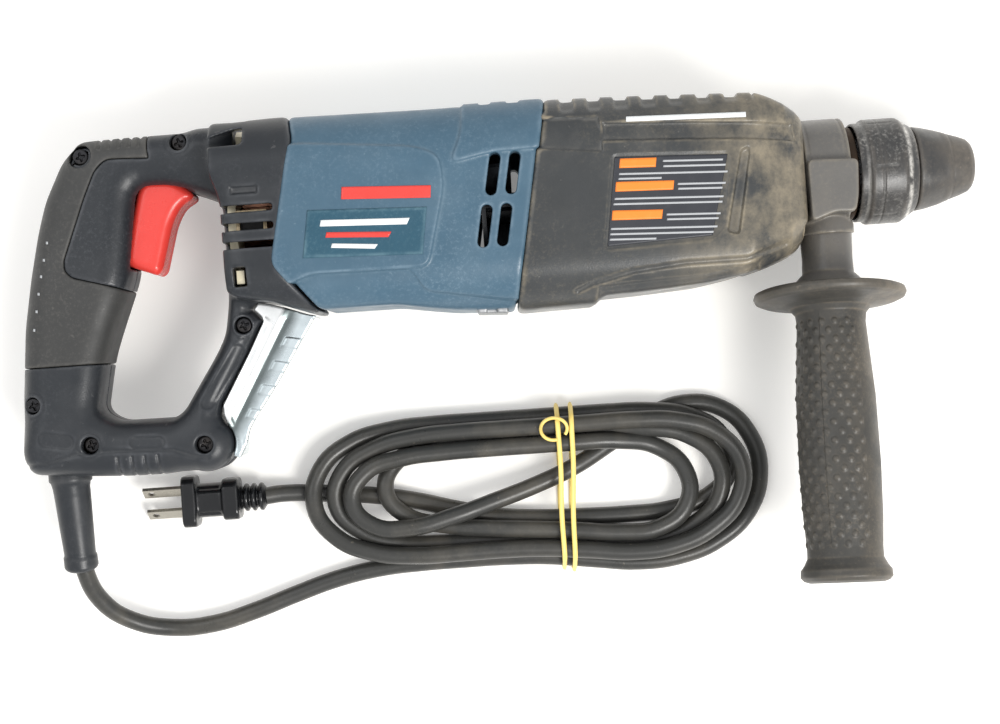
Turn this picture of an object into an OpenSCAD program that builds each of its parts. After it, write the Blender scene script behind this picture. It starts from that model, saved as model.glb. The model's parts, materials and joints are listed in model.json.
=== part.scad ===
// Corded D-handle rotary hammer with an SDS-plus chuck, lying on its left side.
// Tool frame: the spindle axis runs along +X at y = 0, the tool's top is +Y, its right side is +Z.

/* [Body] */
// Height of the spindle axis above the surface, which is half the body's width
axis_z = 41; // [40:0.5:44]
// Wall of the plastic shells
wall = 3; // [2.5:0.5:3.5]
// Width of the D-handle's grip
grip_w = 38; // [34:1:42]
// Width of the full-size rear housing
rear_w = 80; // [76:1:82]

/* [Chuck] */
// Radius of the tool bore, for a 10 mm shank
bore_r = 5; // [5:0.05:5.1]
// Outer radius of the locking sleeve
sleeve_r = 23; // [22.5:0.5:24]
// How far the locking sleeve pulls back
sleeve_travel = 4; // [3:0.5:4]

/* [Side handle] */
// Radius of the nose that the side handle clamps on
neck_r = 21.5; // [21:0.5:22]
// Radius of the hand guard
guard_r = 33; // [30:1:36]
// Distance from the spindle axis to the grip's end
side_reach = 178; // [170:1:185]
// How far the side handle is swung up from level
side_lift = 8; // [0:1:12]
// Lean of the side handle towards the rear
side_lean = 2; // [0:0.5:3]

/* [Cord] */
// Diameter of the mains cord
cord_d = 8; // [7.5:0.1:8.5]
// Height of the bundled cord
hank_h = 24; // [22:1:26]

/* [Hidden] */
$fn = 64;

// The row frame's origin is under the middle of the tool's own box
centre_x = -136.8;
centre_y = -69.6;
body_h = 2 * axis_z;

// Motor and gear train axes, which lie below the spindle axis
motor_y = -6;
counter_y = -26;
motor_bore_r = 37.6;

// Gear teeth: module 1, so a pitch radius is half the tooth count
pinion_teeth = 8;
drive_teeth = 32;
spindle_teeth = 44;

// Fixed places along the spindle axis
nose_x = -2;
band_x = 17;
sleeve_x = band_x + sleeve_travel + 0.5;
holder_x = 62;
cap_x = 74;
side_x = 8.5;

// Hook and its hinge
hook_pivot = [-268, -98.7];
hook_pin_r = 2.5;
hook_top = axis_z + 14;
hook_low = axis_z - 12;
hook_boss_r = 12;
hook_gap = 1;

// Screws in the handle's right half
handle_screw_places = [[-316, 30], [-270.5, 32], [-341, -77], [-317, -95.7], [-248, -48.6]];
case_screw_places = [[22, 24], [22, -24], [-27, 23], [-27, -23]];

trigger_dir = [-0.966, 0.259, 0];
trigger_travel = 6;
lock_place = [-307, 10];

// Cord route, from the strain relief to the bundle, and from the bundle to the plug
lead_start = [-331, -151.5, axis_z - 9];
lead_route = [lead_start, [-330.5, -161, 26], [-327, -170, 19], [-319, -178, 12.5],
    [-308, -183, 8], [-296, -185.5, 5.2], [-282, -185, 4.2], [-265, -181, 4.1],
    [-248, -175, 4.1], [-230, -169, 4.1], [-212, -164, 4.1], [-197, -160.5, 5]];
tail_route = [[-237, -125, 7], [-243, -125.5, 7.4], [-250.5, -126, 8.5]];

// ---------------------------------------------------------------- helpers

module place() {
    translate([-centre_x, -centre_y, 0]) children();
}

// A round bar along X, centred on the height of the spindle axis
module bar_x(x0, x1, r, y = 0) {
    translate([x0, y, axis_z]) rotate([0, 90, 0]) cylinder(h = x1 - x0, r = r);
}

module tube_x(x0, x1, r_out, r_in, y = 0) {
    difference() {
        bar_x(x0, x1, r_out, y);
        bar_x(x0 - 1, x1 + 1, r_in, y);
    }
}

// A turned shape about an axis along X, from a list of [x, radius] corners
module turned_x(corners, y = 0) {
    translate([0, y, axis_z]) rotate([0, 90, 0]) rotate([0, 0, 90])
        rotate_extrude() polygon([for (c = corners) [c[1], c[0]]]);
}

// A bar along X with a rounded rectangle for its section
module rounded_bar_x(x0, x1, y0, y1, half_w, r) {
    translate([x0, 0, axis_z]) rotate([90, 0, 90]) linear_extrude(x1 - x0) union() {
        translate([y0 + r, -half_w]) square([y1 - y0 - 2 * r, 2 * half_w]);
        translate([y0, r - half_w]) square([y1 - y0, 2 * (half_w - r)]);
        for (y = [y0 + r, y1 - r], z = [r - half_w, half_w - r]) translate([y, z]) circle(r = r);
    }
}

// An outline in the XY plane, drawn between two heights
module slab(z0, z1) {
    translate([0, 0, z0]) linear_extrude(z1 - z0) children();
}

// A spur gear's outline with straight-sided teeth and running backlash
module gear_2d(teeth, turn = 0) {
    pitch = 360 / teeth;
    root = teeth / 2 - 1.15;
    tip = teeth / 2 + 0.85;
    polygon([for (i = [0 : teeth - 1], k = [0 : 3])
        let (a = turn + (i + [-0.3, -0.12, 0.12, 0.3][k]) * pitch, r = [root, tip, tip, root][k])
        [r * cos(a), r * sin(a)]]);
}

// A spur gear whose axis lies along X
module gear_x(x0, x1, teeth, y, turn = 0) {
    translate([x0, y, axis_z]) rotate([0, 90, 0]) rotate([0, 0, 90])
        linear_extrude(x1 - x0) gear_2d(teeth, turn);
}

function unit(v) = v / norm(v);

function tangent(p, i) = unit(p[min(i + 1, len(p) - 1)] - p[max(i - 1, 0)]);

// Rings of a tube about a route, kept square to one direction that the route never follows
function ring_points(p, r, sides, up) = [for (i = [0 : len(p) - 1])
    let (t = tangent(p, i), s = unit(cross(t, up)), u = cross(s, t))
    for (k = [0 : sides - 1]) p[i] + r * (s * cos(360 * k / sides) + u * sin(360 * k / sides))];

function arc(centre, r, from, to, steps) =
    [for (i = [0 : steps]) let (a = from + (to - from) * i / steps) centre + r * [cos(a), sin(a)]];

// A bar along X at a place given as [y, offset from the axis height]
module bar_y_z(x0, x1, r, p) {
    translate([x0, p[0], axis_z + p[1]]) rotate([0, 90, 0]) cylinder(h = x1 - x0, r = r);
}

module cylinder_from(z0, z1, r) {
    translate([0, 0, z0]) cylinder(h = z1 - z0, r = r);
}

module tube_along(p, r, sides = 8, up = [0, 0, 1]) {
    n = len(p);
    faces = [for (i = [0 : n - 2], k = [0 : sides - 1])
        [i * sides + k, i * sides + (k + 1) % sides,
            (i + 1) * sides + (k + 1) % sides, (i + 1) * sides + k]];
    ends = [[for (k = [sides - 1 : -1 : 0]) k], [for (k = [0 : sides - 1]) (n - 1) * sides + k]];
    polyhedron(ring_points(p, r, sides, up), concat(faces, ends));
}

// ---------------------------------------------------------------- outlines, in the XY plane

module motor_outline() {
    polygon([[-221.8, 39.2], [-165, 38], [-113, 38.6], [-129.8, -51.5], [-155, -50],
        [-165, -48.5], [-181, -45.8], [-213.6, -45.7], [-230.2, -24.2], [-219.6, 26.7]]);
}

module gear_outline() {
    polygon([[-113, 38.6], [-87, 37.8], [-43, 35.5], [-24, 34.6], [-16, 31], [-6, 25.5],
        [nose_x, 24.5], [nose_x, -24.5], [-7, -33], [-13, -36.5], [-22, -40], [-31, -42.6],
        [-49, -45.7], [-75, -47.4], [-92, -48], [-95, -50.5], [-129.8, -51.5]]);
}

module rear_outline() {
    polygon([[-221.8, 39.2], [-230, 39.2], [-246, 37.8], [-256, 38], [-256, -38],
        [-242, -38.4], [-233.5, -40], [-216.5, -46.2], [-213.6, -45.7], [-230.2, -24.2],
        [-219.6, 26.7]]);
}

module opening_outline() {
    offset(r = 4) offset(delta = -4) polygon([[-288, 10], [-266, 9.5], [-254.5, 5.5],
        [-254.5, -37], [-257, -52], [-261.3, -60], [-271, -74.5], [-276.5, -83], [-281, -86.4],
        [-303, -86.2], [-310, -81], [-305.3, -58.2], [-301.4, -46.6], [-296.5, -33],
        [-294, -24]]);
}

module handle_outline() {
    difference() {
        offset(r = 3) offset(delta = -3) polygon([[-245, 38], [-263, 38.2], [-269, 36.5],
            [-308, 36.2], [-314.6, 36], [-323, 27.7], [-331.4, 11.1], [-335.5, -2.3],
            [-340, -21.8], [-344, -43.6], [-346.8, -74.3], [-347.6, -100], [-344, -107],
            [-318, -109.4], [-300, -110.4], [-285, -110.4], [-280, -109.8], [-262, -109.8],
            [-258, -100], [-245, -76], [-236, -60], [-240, -38]]);
        hook_bay_outline();
        opening_outline();
    }
    translate(hook_pivot) circle(r = hook_boss_r);
}

// The open bay in front of the strut, where the hook folds away
module hook_bay_outline() {
    polygon(concat([[-241.5, -38.2], [-244.4, -42.4], [-240, -47], [-247, -60], [-260, -82],
        [-261, -87]], arc(hook_pivot, hook_boss_r, 48, -80, 8), [[-262, -112],
        [-200, -112], [-200, -38.2]]));
}

module panel_outline() {
    polygon([[-301.8, 26.7], [-240, 24], [-240, -10], [-266, 9], [-286, 0], [-293.8, -31.5],
        [-301.8, -28.4], [-319.9, -23.2], [-322.7, -20], [-322.7, -16], [-312.4, 10.2],
        [-306.8, 22.3]]);
}

// Where the rubber lies: the back of the grip and the top arm, above the seam
module rubber_zone() {
    difference() {
        polygon([[-360, -61], [-280, -61], [-280, -20], [-262, 20], [-262, 45], [-360, 45]]);
        panel_outline();
    }
}

module trigger_outline() {
    offset(r = 2) offset(delta = -2) polygon([[-287, 16], [-276, 15], [-266, 8.8], [-273, 5.7],
        [-277.2, -1.5], [-283, -22], [-285, -23.8], [-299, -18], [-294.8, -1], [-290.8, 13.5]]);
}

// The hook seen from above: a stop tab, the long arm and a curl round the boss
module hook_plate_outline() {
    inner = hook_boss_r + hook_gap;
    polygon(concat([[-243.4, -42.2], [-241.2, -39.2], [-236.4, -40.1], [-230, -42],
        [-217.2, -46.8], [-225.4, -59.5], [-235.2, -74.5], [-244.8, -87.6]],
        [for (p = [[16, 7.3], [-3, 4.6], [-14, 3.6], [-25, 2.6]])
            hook_pivot + (inner + p[1]) * [cos(p[0]), sin(p[0])]],
        arc(hook_pivot, inner, -25, 35, 5), [[-259, -86.6], [-259.2, -82.8],
        [-246.2, -60.6], [-239.2, -47.6], [-239.4, -46.4]]));
}

// ---------------------------------------------------------------- shells

// A handle solid without its hollow, shrunk by a margin on its back and sides under the rubber
module handle_body(margin) {
    half = grip_w / 2;
    difference() {
        union() {
            slab(axis_z - half, axis_z + half) handle_outline();
            intersection() {
                rounded_bar_x(-256, -212, -47, 40, rear_w / 2, 24);
                slab(0, body_h) rear_outline();
            }
        }
        if (margin > 0) difference() {
            slab(-1, body_h + 1) rubber_zone();
            slab(axis_z - half + margin, axis_z + half - margin)
                offset(delta = -margin) handle_outline();
        }
        slab(-1, body_h + 1) opening_outline();
    }
}

module handle_hollow() {
    half = grip_w / 2 - 2.2 - wall;
    slab(axis_z - half, axis_z + half) offset(delta = -2.2 - wall) difference() {
        handle_outline();
        translate([-290, -63]) square([60, 30]);
    }
    intersection() {
        bar_x(-250, -210, motor_bore_r, motor_y);
        slab(wall, body_h - wall) offset(delta = -wall) rear_outline();
    }
    intersection() {
        bar_x(-235, -210, motor_bore_r, motor_y);
        slab(wall, body_h - wall) translate([4, 0]) offset(delta = -wall) rear_outline();
    }
    // Seat for the armature's rear bearing
    bar_x(-254, -249, 9.5, motor_y);
}

module trigger_pocket() {
    slab(axis_z - 11, axis_z + 11) for (t = [0, 0.5, 1])
        translate([trigger_dir[0], trigger_dir[1]] * trigger_travel * t)
            offset(delta = 0.4) trigger_outline();
}

module handle_cuts() {
    handle_hollow();
    trigger_pocket();
    // Slots over the brush gear, for air and light
    for (y = [-15.8, -8.2, -0.6], side = [-1, 1])
        translate([-246, y - 1.5, axis_z + side * 36 - 12]) cube([15, 3, 24]);
    // Slot over the top for the reversing ring's thumb tab, and a small window low on the side
    translate([-245.4, 22, axis_z - 25]) cube([5.3, 25, 50]);
    translate([-247.4, -33, axis_z + 20]) cube([5.4, 8, 25]);
    // Hinge slot, pin hole and screw holes
    translate([hook_pivot[0], hook_pivot[1], axis_z - 3.2]) cylinder(h = 6.4, r = 15.2);
    translate([hook_pivot[0], hook_pivot[1], axis_z - 15]) cylinder(h = 30, r = hook_pin_r);
    translate([hook_pivot[0], hook_pivot[1], axis_z + 12]) cylinder(h = 10, r = 3.8);
    for (p = handle_screw_places) translate([p[0], p[1], 0]) {
        translate([0, 0, axis_z - 12]) cylinder(h = 30, r = 1.7);
        translate([0, 0, axis_z + 12]) cylinder(h = 10, r = 3.6);
    }
    // Hole for the lock button and seat for the strain relief
    translate([lock_place[0], lock_place[1], 10]) cylinder(h = 20, r = 5.1);
    translate([-331, -100, axis_z]) rotate([90, 0, 0]) cylinder(h = 20, r = 9.6);
}

module motor_housing() color("steelblue") place() difference() {
    intersection() {
        rounded_bar_x(-235, -110, -52, 40, axis_z, 26);
        slab(0, body_h) motor_outline();
    }
    bar_x(-240, -100, motor_bore_r, motor_y);
    for (p = [[-136.2, 6.5], [-127.8, 6.5], [-141, -15], [-132.8, -15]], z = [-5, body_h - 20])
        translate([p[0], p[1], z]) rotate(-11) translate([-2.3, -9]) cube([4.6, 18, 25]);
}

module gear_cover() color("dimgray") place() difference() {
    intersection() {
        rounded_bar_x(-131, nose_x, -52, 40, axis_z, 26);
        slab(0, body_h) gear_outline();
        nose_taper(0);
        nose_round(0);
    }
    gear_case_shape(0.01);
    bar_x(-140, -112.9, motor_bore_r, motor_y);
    bar_x(-10, 5, neck_r + 0.05);
    // Round recess on the left side for the selector knob
    translate([-62, -6, -1]) cylinder(h = 8, r = 15.4);
    for (p = case_screw_places) bar_y_z(-30, 5, 4, p);
}

// The plan view's taper towards the nose, shrunk by a margin
module nose_taper(margin) {
    m = margin;
    translate([0, 60, 0]) rotate([90, 0, 0]) linear_extrude(120)
        polygon([[-131, m], [-30, m], [-12, 7 + m], [nose_x - m, 14 + m],
            [nose_x - m, body_h - 14 - m], [-12, body_h - 7 - m], [-30, body_h - m],
            [-131, body_h - m]]);
}

// Rounds the nose's corners off about the spindle axis, so that the hand guard swings clear
module nose_round(margin) {
    turned_x([[-131, 0], [-131, 70], [-46, 70 - margin], [-25, 49 - margin], [-12, 43 - margin],
        [nose_x, 34 - margin], [nose_x, 0]]);
}

module gear_case_shape(gap) {
    m = wall + 0.2 - gap;
    intersection() {
        rounded_bar_x(-112.9, nose_x - wall, -52 + m, 40 - m, axis_z - m, 26 - m);
        slab(m, body_h - m) offset(delta = -m) gear_outline();
        nose_taper(m);
        nose_round(m);
    }
}

module gear_case() color("silver") place() difference() {
    union() {
        gear_case_shape(0);
        bar_x(-124, -112.9, motor_bore_r - 0.1, motor_y);
        bar_x(-8, band_x, neck_r);
    }
    // Chambers for the spindle, the drive gear, the wobble drive and the countershaft
    bar_x(-109, -36, 25.5);
    bar_x(-36, -12, 17.5);
    bar_x(-14, band_x - 7, 15);
    bar_x(-20, band_x + 1, 13.6);
    bar_x(-109, -96.5, 18, counter_y);
    bar_x(-98, -62, 14.4, counter_y);
    bar_x(-64, -36, 8, counter_y);
    bar_x(-115, -28, 5.8, counter_y);
    bar_x(-123.1, -108, 11, motor_y);
    bar_x(-125, -120, 8, motor_y);
    // Stem hole for the selector knob
    translate([-62, -6, 0]) cylinder(h = 18, r = 4.1);
    for (p = case_screw_places) {
        bar_y_z(-50, 5, 1.8, p);
        bar_y_z(-14, 5, 4, p);
    }
}

module handle_right() color("#3c4046") place() difference() {
    handle_body(2.2);
    handle_cuts();
    translate([-400, -200, -200]) cube([400, 400, 200 + axis_z]);
}

module handle_left() color("#3c4046") place() difference() {
    handle_body(2.2);
    handle_cuts();
    translate([-400, -200, axis_z]) cube([400, 400, 200]);
}

module grip_overmould() color("#5a5850") place() difference() {
    intersection() {
        handle_body(0);
        slab(0, body_h) rubber_zone();
    }
    handle_body(2.2);
    handle_cuts();
}

// ---------------------------------------------------------------- controls

module trigger() color("#e14641") place() slab(axis_z - 10.6, axis_z + 10.6) trigger_outline();

module switch_module() color("dimgray") place()
    translate([-312, -2, axis_z - 9]) rotate(-15) translate([-8, -17]) cube([12, 34, 18]);

module lock_button() color("#e14641") place()
    translate([lock_place[0], lock_place[1], axis_z - grip_w / 2]) {
    cylinder_from(-2, 6.6, 4.8);
    cylinder_from(5.4, 6.6, 6);
}

module selector_knob() color("#2a2c2f") place() translate([-62, -6, 0]) {
    difference() {
        translate([0, 0, 0.6]) cylinder(h = 2.4, r = 15);
        for (y = [-9.5, 4.5]) translate([-12, y, 0]) cube([24, 5, 1.8]);
    }
    cylinder_from(2.9, 17, 4);
}

// ---------------------------------------------------------------- motor

// The ring that carries the brushes, with a thumb tab that stands out through the top slot
module reversing_ring() color("ivory") place() {
    tube_x(-249.6, -246.1, 28, 11, motor_y);
    translate([0, motor_y, axis_z]) rotate([-62, 0, 0]) {
        translate([-249.6, -3, 26]) cube([9.1, 6, 6]);
        translate([-244.9, -3, 31]) cube([4.4, 6, 13]);
    }
}

module wire_clip() color("ivory") place()
    translate([-246.6, -31.8, axis_z + 24]) cube([3.2, 5.6, 10]);

module brush_holders() color("goldenrod") place() for (side = [0, 180])
    translate([0, motor_y, axis_z]) rotate([side, 0, 0]) difference() {
        translate([-246, -5.4, 14]) cube([13, 10.8, 16]);
        translate([-244.5, -3.9, 13]) cube([10, 7.8, 18]);
    }

module carbon_brushes() color("#303030") place() for (side = [0, 180])
    translate([0, motor_y, axis_z]) rotate([side, 0, 0]) difference() {
        translate([-244.4, -3.8, 10]) cube([9.8, 7.6, 17]);
        translate([-260, 0, 0]) rotate([0, 90, 0]) cylinder(h = 60, r = 12.05);
    }

module armature_core() color("slategray") place() difference() {
    union() {
        bar_x(-212, -160, 22, motor_y);
        turned_x([[-225, 4], [-225, 12], [-218, 19], [-212, 19], [-212, 4]], motor_y);
        turned_x([[-160, 4], [-160, 19], [-154, 19], [-149, 12], [-149, 4]], motor_y);
    }
    bar_x(-230, -140, 4, motor_y);
}

module armature_shaft() color("silver") place() {
    bar_x(-252.5, -112, 4, motor_y);
    gear_x(-112, -97.6, pinion_teeth, motor_y);
}

module commutator() color("peru") place() difference() {
    tube_x(-246, -228, 12, 4, motor_y);
    for (i = [0 : 11]) translate([0, motor_y, axis_z]) rotate([i * 30 + 15, 0, 0])
        translate([-247, -0.3, 11]) cube([16, 0.6, 3]);
}

module cooling_fan() color("#2e3134") place() {
    tube_x(-142, -127, 8, 4, motor_y);
    tube_x(-142, -140.2, 33, 8, motor_y);
    translate([0, motor_y, axis_z]) for (i = [0 : 10]) rotate([i * 360 / 11, 0, 0])
        translate([-140.5, -1, 14]) cube([12, 2, 18]);
}

module stator() color("gray") place() difference() {
    bar_x(-211, -161, motor_bore_r - 0.1, motor_y);
    bar_x(-212, -160, 22.6, motor_y);
    // Pockets for the two field coils
    for (side = [0, 180]) translate([0, motor_y, axis_z]) rotate([side, 0, 0]) for (a = [-42, 42])
        rotate([a, 0, 0]) translate([-213, -5, 20]) cube([54, 10, 12]);
}

module field_coils() color("chocolate") place() for (side = [0, 180])
    translate([0, motor_y, axis_z]) rotate([side, 0, 0]) {
        for (a = [-42, 42]) rotate([a, 0, 0])
            translate([-217, -4.8, 23.4]) cube([62, 9.6, 8.4]);
        for (x = [-219.5, -158]) difference() {
            translate([x, 0, 0]) rotate([0, 90, 0]) cylinder(h = 5.5, r = 31);
            translate([x - 1, 0, 0]) rotate([0, 90, 0]) cylinder(h = 8, r = 24);
            translate([x - 1, -40, -40]) cube([8, 80, 56]);
        }
    }

module air_baffle() color("#3c4046") place() tube_x(-147, -144.5, motor_bore_r - 0.1, 24, motor_y);

module bearing_x(x0, x1, r_out, r_in, y) {
    step = (r_out - r_in) / 3;
    tube_x(x0, x1, r_out, r_out - step, y);
    tube_x(x0, x1, r_in + step, r_in, y);
    tube_x(x0 + 1, x1 - 1, r_out - step, r_in + step, y);
}

module rear_bearing() color("lightgray") place() bearing_x(-254, -247.5, 9.5, 4.05, motor_y);

module front_bearing() color("lightgray") place() bearing_x(-122, -114, 11, 4.05, motor_y);

// ---------------------------------------------------------------- gear train and hammer

module drive_gear() color("darkgray") place() difference() {
    gear_x(-107, -98, drive_teeth, counter_y, 360 / drive_teeth / 2);
    bar_x(-110, -90, 5, counter_y);
}

module countershaft() color("silver") place() {
    bar_x(-115, -56, 5, counter_y);
    gear_x(-56, -42, pinion_teeth, counter_y);
    bar_x(-42, -29, 3.6, counter_y);
}

module shaft_bearings() color("lightgray") place() {
    tube_x(-114.5, -109.2, 5.75, 5.06, counter_y);
    tube_x(-36, -29, 5.75, 3.66, counter_y);
}

// A round-backed hub on the countershaft, inside the wobble ring
module wobble_hub() color("gray") place()
    turned_x(concat([[-89.5, 5]], [for (a = [125 : -10 : 55]) [-84 + 9.6 * cos(a), 9.6 * sin(a)]],
        [[-78.5, 5]]), counter_y);

module wobble_ring() color("darkgray") place() {
    tube_x(-88, -80, 13, 9.9, counter_y);
    translate([-84, counter_y + 11.5, axis_z]) rotate([-90, 0, 0]) cylinder(h = 17, r = 2.2);
}

module spindle_gear() color("darkgray") place() difference() {
    gear_x(-55, -44, spindle_teeth, 0, 360 / spindle_teeth / 2);
    bar_x(-60, -40, 15.5);
}

module tool_spindle() color("silver") place() difference() {
    union() {
        bar_x(-72, -13, 15.5);
        bar_x(-13, 21, 13);
        bar_x(20, holder_x, 11);
        bar_x(22, 24.5, 15);
    }
    bar_x(-80, -18, 13);
    bar_x(-19, 6, 7.05);
    bar_x(-19, holder_x + 1, bore_r);
    // Seats for the two locking balls, with a lip at the bore
    for (side = [0, 180]) translate([45, 0, axis_z]) rotate([side, 0, 0]) {
        cylinder(h = 20, r = 1.8);
        cylinder_from(bore_r + 0.4, 20, 3.3);
    }
}

module spindle_bearing() color("lightgray") place() tube_x(-12, band_x - 7, 15, 13.05);

module nose_seal() color("#8a5a3c") place() tube_x(band_x, band_x + 3.8, 20.2, 13.3);

module piston() color("darkgray") place() difference() {
    union() {
        bar_x(-72, -40, 12.95);
        bar_x(-91, -72, 9);
    }
    bar_x(-66, -39, 10);
    // Slot for the wobble ring's finger
    translate([-88.7, -20, axis_z - 2.4]) cube([9.4, 26, 4.8]);
}

module striker() color("gray") place() bar_x(-58, -32, 9.95);

module beat_piece() color("gray") place() turned_x([[-26, 0], [-26, 6], [-17.5, 6],
    [-17.5, 6.95], [-4, 6.95], [-4, 0]]);

module locking_balls() color("silver") place() for (side = [-1, 1])
    translate([45, 0, axis_z + side * (bore_r + 2.95)]) sphere(r = 2.5);

function spring_point(t, turns) = [25.5 + 12.5 * t, 13.5 * cos(360 * turns * t),
    axis_z + 13.5 * sin(360 * turns * t)];

module sleeve_spring() color("silver") place()
    tube_along([for (i = [0 : 64]) spring_point(i / 64, 4)], 0.8, 6, [1, 0, 0]);

module locking_sleeve() color("#2a2c2f") place() difference() {
    turned_x([[sleeve_x, 20.6], [sleeve_x, 22], [sleeve_x + 1.5, sleeve_r], [39.5, sleeve_r],
        [47.3, 18.2], [47.3, 11.3], [39, 11.3], [39, 20.6]]);
    bar_x(41.4, 47.4, 12);
}

module dust_cap() color("#2a2c2f") place() difference() {
    turned_x([[47.7, 12], [47.7, 18.4], [holder_x, 14.8], [holder_x + 0.6, 13.9],
        [holder_x + 1.4, 14.4], [69, 12.6], [73, 10], [cap_x, 8], [cap_x, 6], [47.7, 6]]);
    bar_x(40, holder_x, 11);
    bar_x(holder_x - 1, cap_x + 1, 6);
}

// ---------------------------------------------------------------- side handle

// Local frame: origin on the spindle axis, the grip pointing along local +Z
module side_frame() {
    translate([side_x, 0, axis_z]) rotate([-side_lift, 0, 0]) rotate([0, 0, -side_lean])
        rotate([90, 0, 0]) children();
}

module side_turned(corners) {
    rotate_extrude() polygon([for (c = corners) [c[1], c[0]]]);
}

module clamp_band() color("dimgray") place() difference() {
    union() {
        tube_x(-0.8, band_x - 0.2, 24.4, neck_r + 0.05);
        translate([-0.8, -10.5, axis_z + 19]) cube([band_x + 0.6, 18, 9.5]);
    }
    bar_x(-5, 25, neck_r + 0.05);
}

module clamp_neck() color("#2a2c2f") place() difference() {
    side_frame() {
        side_turned([[18, 0], [18, 9], [38, 9], [50, 17.5], [51.5, 17.5], [51.5, 0]]);
    }
    bar_x(-20, 40, 24.4);
    side_frame() cylinder(h = 60, r = 4.1);
}

module clamp_bolt() color("silver") place() difference() {
    side_frame() cylinder(h = 84, r = 4);
    bar_x(-20, 40, 24.4);
}

module side_grip() color("#2a2c2f") place() side_frame() difference() {
    side_turned([[51.8, 0], [51.8, guard_r - 1.5], [54, guard_r], [56.5, guard_r - 2],
        [59, 16.5], [64, 14.8], [78, 15.6], [98, 17.2], [128, 17.6], [150, 17], [163, 16.2],
        [169, 18.2], [172, 19.5], [175.5, 19.2], [side_reach, 15.5], [side_reach, 0]]);
    translate([0, 0, 50]) cylinder(h = 38, r = 4.1);
}

// ---------------------------------------------------------------- hook

module folding_hook() color("lightsteelblue") place() difference() {
    union() {
        slab(hook_top - 2.2, hook_top) hook_plate_outline();
        // The leg that stands across the plate, along its inner edge
        slab(hook_low, hook_top) difference() {
            hook_plate_outline();
            translate([2.05, -1.3]) hook_plate_outline();
            translate([-250, -46.6]) square([50, 20]);
        }
        // The ear that turns in the handle's slot
        slab(axis_z - 2.8, axis_z + 2.8) {
            translate(hook_pivot) circle(r = 8);
            polygon(concat([hook_pivot], arc(hook_pivot, 14.8, -25, 28, 5)));
        }
    }
    translate([hook_pivot[0], hook_pivot[1], 0]) cylinder(h = body_h, r = hook_pin_r + 0.05);
}

module hook_pin() color("silver") place() translate([hook_pivot[0], hook_pivot[1], 0]) {
    translate([0, 0, axis_z - 15]) cylinder(h = 27, r = hook_pin_r);
    translate([0, 0, axis_z + 12]) cylinder(h = 2.6, r = 3.6);
}

// ---------------------------------------------------------------- fasteners

module handle_screws() color("#444444") place() for (p = handle_screw_places)
    translate([p[0], p[1], 0]) {
        translate([0, 0, axis_z - 12]) cylinder(h = 24, r = 1.6);
        translate([0, 0, axis_z + 12]) cylinder(h = 2.4, r = 3.4);
    }

module case_screws() color("#444444") place() for (p = case_screw_places) {
    bar_y_z(-48, -14, 1.7, p);
    bar_y_z(-14, -11, 3.6, p);
}

// ---------------------------------------------------------------- cord

module cord_clamp() color("dimgray") place() difference() {
    translate([-339, -99.5, axis_z - 5]) cube([16, 5, 10]);
    translate([-331, -90, axis_z]) rotate([90, 0, 0]) cylinder(h = 20, r = cord_d / 2);
}

module strain_relief() color("#2a2c2f") place() {
    translate([-331, -104, axis_z]) rotate([90, 0, 0]) cylinder(h = 3, r = 9);
    translate([-331, -106.5, axis_z]) rotate([90, 0, 0]) cylinder(h = 5, r = 9.4);
    translate([-331, -110.5, axis_z]) rotate([90 + 12.5, 0, 0]) cylinder(h = 42, r1 = 8.2, r2 = 6.4);
}

module cord_lead() color("#303234") place() tube_along(lead_route, cord_d / 2, 10);

module hank_outline() {
    offset(r = 20) offset(delta = -20) polygon([[-238, -112], [-222, -101], [-180, -92],
        [-110, -88], [-50, -87], [-28, -94], [-15.5, -112], [-15.5, -148], [-30, -162],
        [-60, -170], [-90, -172], [-150, -166], [-200, -163], [-226, -154], [-238, -140]]);
}

module cord_hank() color("#303234") place() slab(0, hank_h) hank_outline();

module cord_tail() color("#303234") place() tube_along(tail_route, cord_d / 2, 10);

module rubber_bands() color("khaki") place() for (x = [-114.5, -109.5])
    translate([x, -168, 0.5]) difference() {
        cube([1.4, 80.5, hank_h + 0.7]);
        translate([-1, 0.9, -1]) cube([4, 78.7, hank_h + 1]);
    }

module plug_body() color("#1b1d20") place() translate([-250.5, -126, 8.5]) rotate([0, 0, 180]) {
    rotate([0, 90, 0]) cylinder(h = 13, r1 = 6.2, r2 = 6.8);
    translate([12, -9.5, -8]) cube([7, 19, 17.5]);
    translate([18, -8.5, -7]) cube([14, 17, 14]);
    translate([31, -12, -8]) cube([6.5, 24, 20]);
}

module plug_blades() color("silver") place() translate([-250.5, -126, 8.5]) rotate([0, 0, 180])
    for (side = [-1, 1]) translate([37.5, side * 5.2, side * -3.7]) rotate([35, 0, 0]) difference() {
        translate([0, -0.75, -3.2]) cube([17.5, 1.5, 6.4]);
        translate([13.8, 3, 0]) rotate([90, 0, 0]) cylinder(h = 6, r = 1.6);
    }

motor_housing();
gear_cover();
gear_case();
handle_right();
handle_left();
grip_overmould();
trigger();
switch_module();
lock_button();
selector_knob();
reversing_ring();
wire_clip();
brush_holders();
carbon_brushes();
armature_core();
armature_shaft();
commutator();
cooling_fan();
stator();
field_coils();
air_baffle();
rear_bearing();
front_bearing();
drive_gear();
countershaft();
shaft_bearings();
wobble_hub();
wobble_ring();
spindle_gear();
tool_spindle();
spindle_bearing();
nose_seal();
piston();
striker();
beat_piece();
locking_balls();
sleeve_spring();
locking_sleeve();
dust_cap();
clamp_band();
clamp_neck();
clamp_bolt();
side_grip();
folding_hook();
hook_pin();
handle_screws();
case_screws();
cord_clamp();
strain_relief();
cord_lead();
cord_hank();
cord_tail();
rubber_bands();
plug_body();
plug_blades();
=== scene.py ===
"""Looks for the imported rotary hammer: detailed shells, cord and materials around the CAD frame."""

import json
import math

import bpy
import numpy as np
from mathutils import Matrix, Vector


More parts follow.
